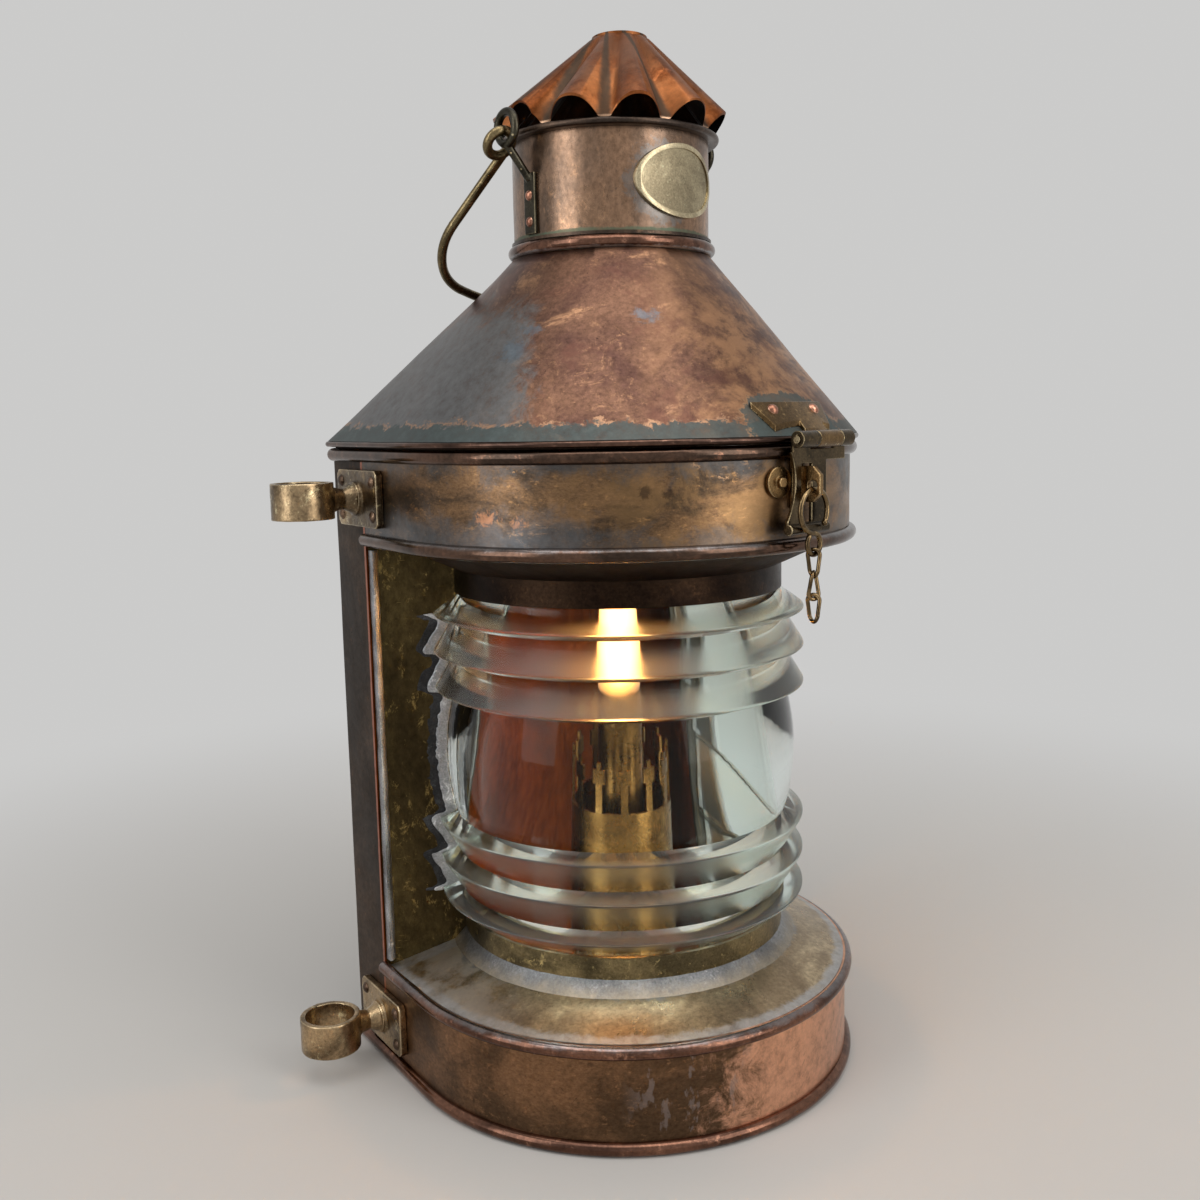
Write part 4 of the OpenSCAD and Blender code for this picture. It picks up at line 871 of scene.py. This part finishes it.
for centre, radius in (
    ((-0.085, -0.042, 0.389), 0.007),
    ((-0.072, -0.040, 0.398), 0.005),
    ((-0.032, -0.0755, 0.405), 0.004),
):
    stain(
        hood_copper, blotch(tree, centre, radius, taller=0.7), (0.125, 0.165, 0.200),
        rag=0.010, size=130, share=0.55, soft=0.003,
    )
tide = minus(tree, hood_low + tide_high, rise)
verdigris = (0.075, 0.095, 0.092)
stain(
    hood_copper, tide, verdigris,
    rag=0.0050, size=95, share=0.85, soft=0.0006, roughness=0.55, outline=(0.42, 0.24, 0.14),
)
leaf_mid = (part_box("hasp_leaf")[0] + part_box("hasp_leaf")[1]) / 2
stain(
    hood_copper, blotch(tree, leaf_mid, leaf_halo, taller=0.50), verdigris,
    rag=0.0080, size=110, share=0.85, soft=0.0008, roughness=0.55, outline=(0.42, 0.25, 0.14),
)
hood = copy_of("hood", "hood_cone")
cut_finer(hood, longest=0.012)
dent(hood, depth=0.0011, size=0.05)
settle(hood, hood_copper, "hood", smooth=50)
rim_copper = bead_finish("rim_copper", (0.050, 0.030, 0.023), (0.125, 0.070, 0.050), (0.42, 0.24, 0.17))
settle(copy_of("hood_rim_wire", "hood_rim"), rim_copper, "hood_rim_wire", smooth=60)

# Neck: a copper tube on top of the hood with a bead at its foot, a ring and a flange at its top.
# Green stays in the groove above the bead, and grey solder shows below it.
neck_copper = aged_metal(
    "neck_copper", (0.138, 0.097, 0.073), (0.308, 0.185, 0.116), (0.552, 0.312, 0.175),
    size=16, share=0.42, bump=0.08, flatten=0.7, gloss=0.22,
)
tree = neck_copper.node_tree
bead_top, green_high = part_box("neck_bead")[1].z, 0.0032
stain(
    neck_copper, minus(tree, bead_top + green_high, height(tree)), (0.085, 0.125, 0.085),
    rag=0.0012, size=90, share=0.75, roughness=0.55,
)
plate_mid = (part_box("name_plate")[0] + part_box("name_plate")[1]) / 2
plate_halo, halo_shift = 0.0215, Vector((-0.009, 0.005, -0.001))
stain(
    neck_copper, blotch(tree, plate_mid + halo_shift, plate_halo), (0.16, 0.165, 0.165),
    rag=0.0075, size=130, share=0.55, soft=0.0012,
)
tube = copy_of("neck", "neck_tube")
cut_finer(tube, longest=0.008)
dent(tube, depth=0.0005, size=0.028)
settle(tube, neck_copper, "neck", smooth=50)
foot_copper = bead_finish("foot_copper", *bead_reds)
tree = foot_copper.node_tree
foot_low, solder_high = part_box("neck_bead")[0].z, 0.0012
stain(
    foot_copper, minus(tree, foot_low + solder_high, height(tree)), (0.45, 0.455, 0.46),
    rag=0.0008, size=110, share=0.85, roughness=0.5,
)
foot_bead = copy_of("neck_bead", "neck_foot_bead")
dent(foot_bead, depth=0.0005, size=0.016)
settle(foot_bead, foot_copper, "neck_bead", smooth=60)
flange_copper = aged_metal(
    "flange_copper", (0.050, 0.037, 0.030), (0.105, 0.070, 0.050), (0.30, 0.18, 0.115),
    size=24, share=0.42, gloss=0.28,
)
for node in ("neck_ring", "neck_flange"):
    settle(copy_of(node, node + "_copper"), flange_copper, node, smooth=40)


# Name plate: an oval of cast brass with a raised rim, left bare, bent to the neck and soldered there.
# It is paler than the other brass, from polishing, with painted shade along the foot of its rim.
def round_edges(piece, width, segments=2):
    rounding = piece.modifiers.new("rounding", "BEVEL")
    rounding.width = width
    rounding.segments = segments
    rounding.limit_method = "ANGLE"
    rounding.angle_limit = math.radians(40)
    apply_all(piece)


plate_brass = aged_metal(
    "plate_brass", (0.350, 0.285, 0.180), (0.613, 0.514, 0.329), (0.950, 0.896, 0.591),
    size=40, share=0.42, bump=0.14, gloss=0.26,
)
wear_edges(plate_brass, (0.72, 0.62, 0.42), (0.055, 0.047, 0.032), size=120)
oval = copy_of("name_plate", "bare_name_plate")
round_edges(oval, width=0.0003)
settle(oval, plate_brass, "name_plate", smooth=50)

# Cowl: a fluted copper cap over the neck, cut and bent from sheet, whose open flutes let the smoke out.
# The ridges are bright orange and the valleys are painted a dark olive grey as painted shade, and a round cap
# closes the top.
cowl_copper = aged_metal(
    "cowl_copper", (0.115, 0.033, 0.009), (0.217, 0.063, 0.018), (0.366, 0.117, 0.037),
    size=18, share=0.42, bump=0.14, gloss=0.46,
)
wear_edges(
    cowl_copper, (0.46, 0.19, 0.075), (0.055, 0.046, 0.034), size=50, bright_share=0.35, crease_shade_share=0.85,
)
tree = cowl_copper.node_tree
flutes, ridge_turn = 11, math.radians(-20)
spot = put(tree, "SeparateXYZ", {0: place(tree)})
forward = times(tree, spot.outputs[1], -1.0)
round_turn = put(tree, "Math", {0: spot.outputs[0], 1: forward}, operation="ARCTAN2").outputs[0]
flute_turn = times(tree, minus(tree, round_turn, ridge_turn), flutes)
wave = put(tree, "Math", {0: flute_turn}, operation="COSINE").outputs[0]
uneven = clouds(tree, place(tree), size=120, detail=6.0, rough=0.7)
# Flute valleys darkened: painted shade in the creases between the ridges.
valley_shade = between(tree, plus(tree, wave, times(tree, uneven, 0.5)), -0.35, -0.72)
lay_over(cowl_copper, times(tree, valley_shade, 0.8), (0.048, 0.044, 0.034), roughness=0.6)
lip, lip_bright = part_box("cowl")[0].z, 0.0012
stain(
    cowl_copper, minus(tree, lip + lip_bright, height(tree)), (0.80, 0.50, 0.32),
    rag=0.0004, size=120, share=0.7, roughness=0.25,
)
cowl = copy_of("cowl", "fluted_cowl")
dent(cowl, depth=0.0009, size=0.022)
settle(cowl, cowl_copper, "cowl", smooth=60)
# The cowl's inside faces take the near-black copper: painted shade inside the flutes.
cowl.data.materials.append(painted_shade_copper)
for face in cowl.data.polygons:
    outside = Vector((face.center.x, face.center.y, 0.02))
    face.material_index = 1 if face.normal.dot(outside) < 0 else 0
settle(copy_of("cowl_cap", "cowl_cap_disc"), cowl_copper, "cowl_cap", smooth=40)

# Ears and bail: two forged brass straps riveted to the neck, drawn out to eyes, and a bent wire between them.
# The straps are nearly black with bright edges, the rivets copper, and the wire golden where hands take it.
ear_brass = aged_metal(
    "ear_brass", (0.030, 0.027, 0.020), (0.070, 0.062, 0.044), (0.20, 0.17, 0.11),
    size=40, share=0.40, bump=0.16, gloss=0.26,
)
wear_edges(ear_brass, (0.74, 0.60, 0.36), (0.015, 0.013, 0.010), size=110, bright_share=0.85, crease_shade_share=0.5)
for node in ("left_ear", "right_ear"):
    strap = cast(node, node + "_strap", grain=0.0004, rounds=4)
    settle(strap, ear_brass, node, smooth=60)
bright_copper = aged_metal(
    "bright_copper", (0.26, 0.115, 0.075), (0.46, 0.21, 0.135), (0.78, 0.45, 0.31),
    size=60, share=0.5, gloss=0.24,
)
wear_edges(bright_copper, (0.85, 0.52, 0.36), (0.05, 0.035, 0.028))
settle(copy_of("ear_rivets", "ear_rivet_heads"), bright_copper, "ear_rivets", smooth=60)
bail_brass = aged_metal(
    "bail_brass", (0.10, 0.076, 0.040), (0.24, 0.180, 0.092), (0.54, 0.42, 0.22),
    size=30, share=0.45, bump=0.10, gloss=0.24,
)
handle = copy_of("bail", "bail_wire")
dent(handle, depth=0.0003, size=0.012)
settle(handle, bail_brass, "bail", smooth=60)

# Hasp: a brass leaf riveted to the hood, and a strap that turns on a pin in its knuckles.
# The strap is pierced and closes over the staple, its face is painted near black as painted shade, and its
# edges are filed and rubbed bright.
settle(cast("hasp_leaf", "hasp_leaf_brass", grain=0.0004, rounds=3), fitting_brass, "hasp_leaf", smooth=60)
# Near-black strap face: painted shade, as the strap lies in shadow.
strap_brass = aged_metal(
    "strap_brass", (0.042, 0.031, 0.018), (0.105, 0.074, 0.040), (0.31, 0.21, 0.10),
    size=34, share=0.40, gloss=0.19,
)
wear_edges(strap_brass, (0.92, 0.74, 0.44), (0.018, 0.016, 0.012), size=60, bright_share=1.0, crease_shade_share=0.6)
settle(cast("hasp", "hasp_strap", grain=0.0004, rounds=3), strap_brass, "hasp", smooth=60)
settle(copy_of("hasp_pin", "hasp_hinge_pin"), fitting_brass, "hasp_pin", smooth=60)
settle(copy_of("hasp_leaf_rivets", "hasp_rivet_heads"), bright_copper, "hasp_leaf_rivets", smooth=60)

# Safety hook and chain: a hook of brass wire in the staple's eye, on three links of twisted wire.
# The links are modelled flat and then given the turn that makes such a chain lie close.
chain_brass = aged_metal(
    "chain_brass", (0.075, 0.050, 0.026), (0.25, 0.170, 0.085), (0.66, 0.47, 0.24),
    size=60, share=0.45, gloss=0.13,
)
settle(copy_of("safety_hook", "s_hook_wire"), chain_brass, "safety_hook", smooth=60)
for node in ("chain_link_1", "chain_link_2", "chain_link_3"):
    link = copy_of(node, node + "_wire")
    middle = (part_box(node)[0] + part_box(node)[1]) / 2
    link.data.transform(Matrix.Translation(-middle))
    turn = link.modifiers.new("turn", "SIMPLE_DEFORM")
    turn.deform_method = "TWIST"
    turn.deform_axis = "Z"
    turn.angle = math.radians(60)
    apply_all(link)
    link.data.transform(Matrix.Translation(middle))
    settle(link, chain_brass, node, smooth=60)
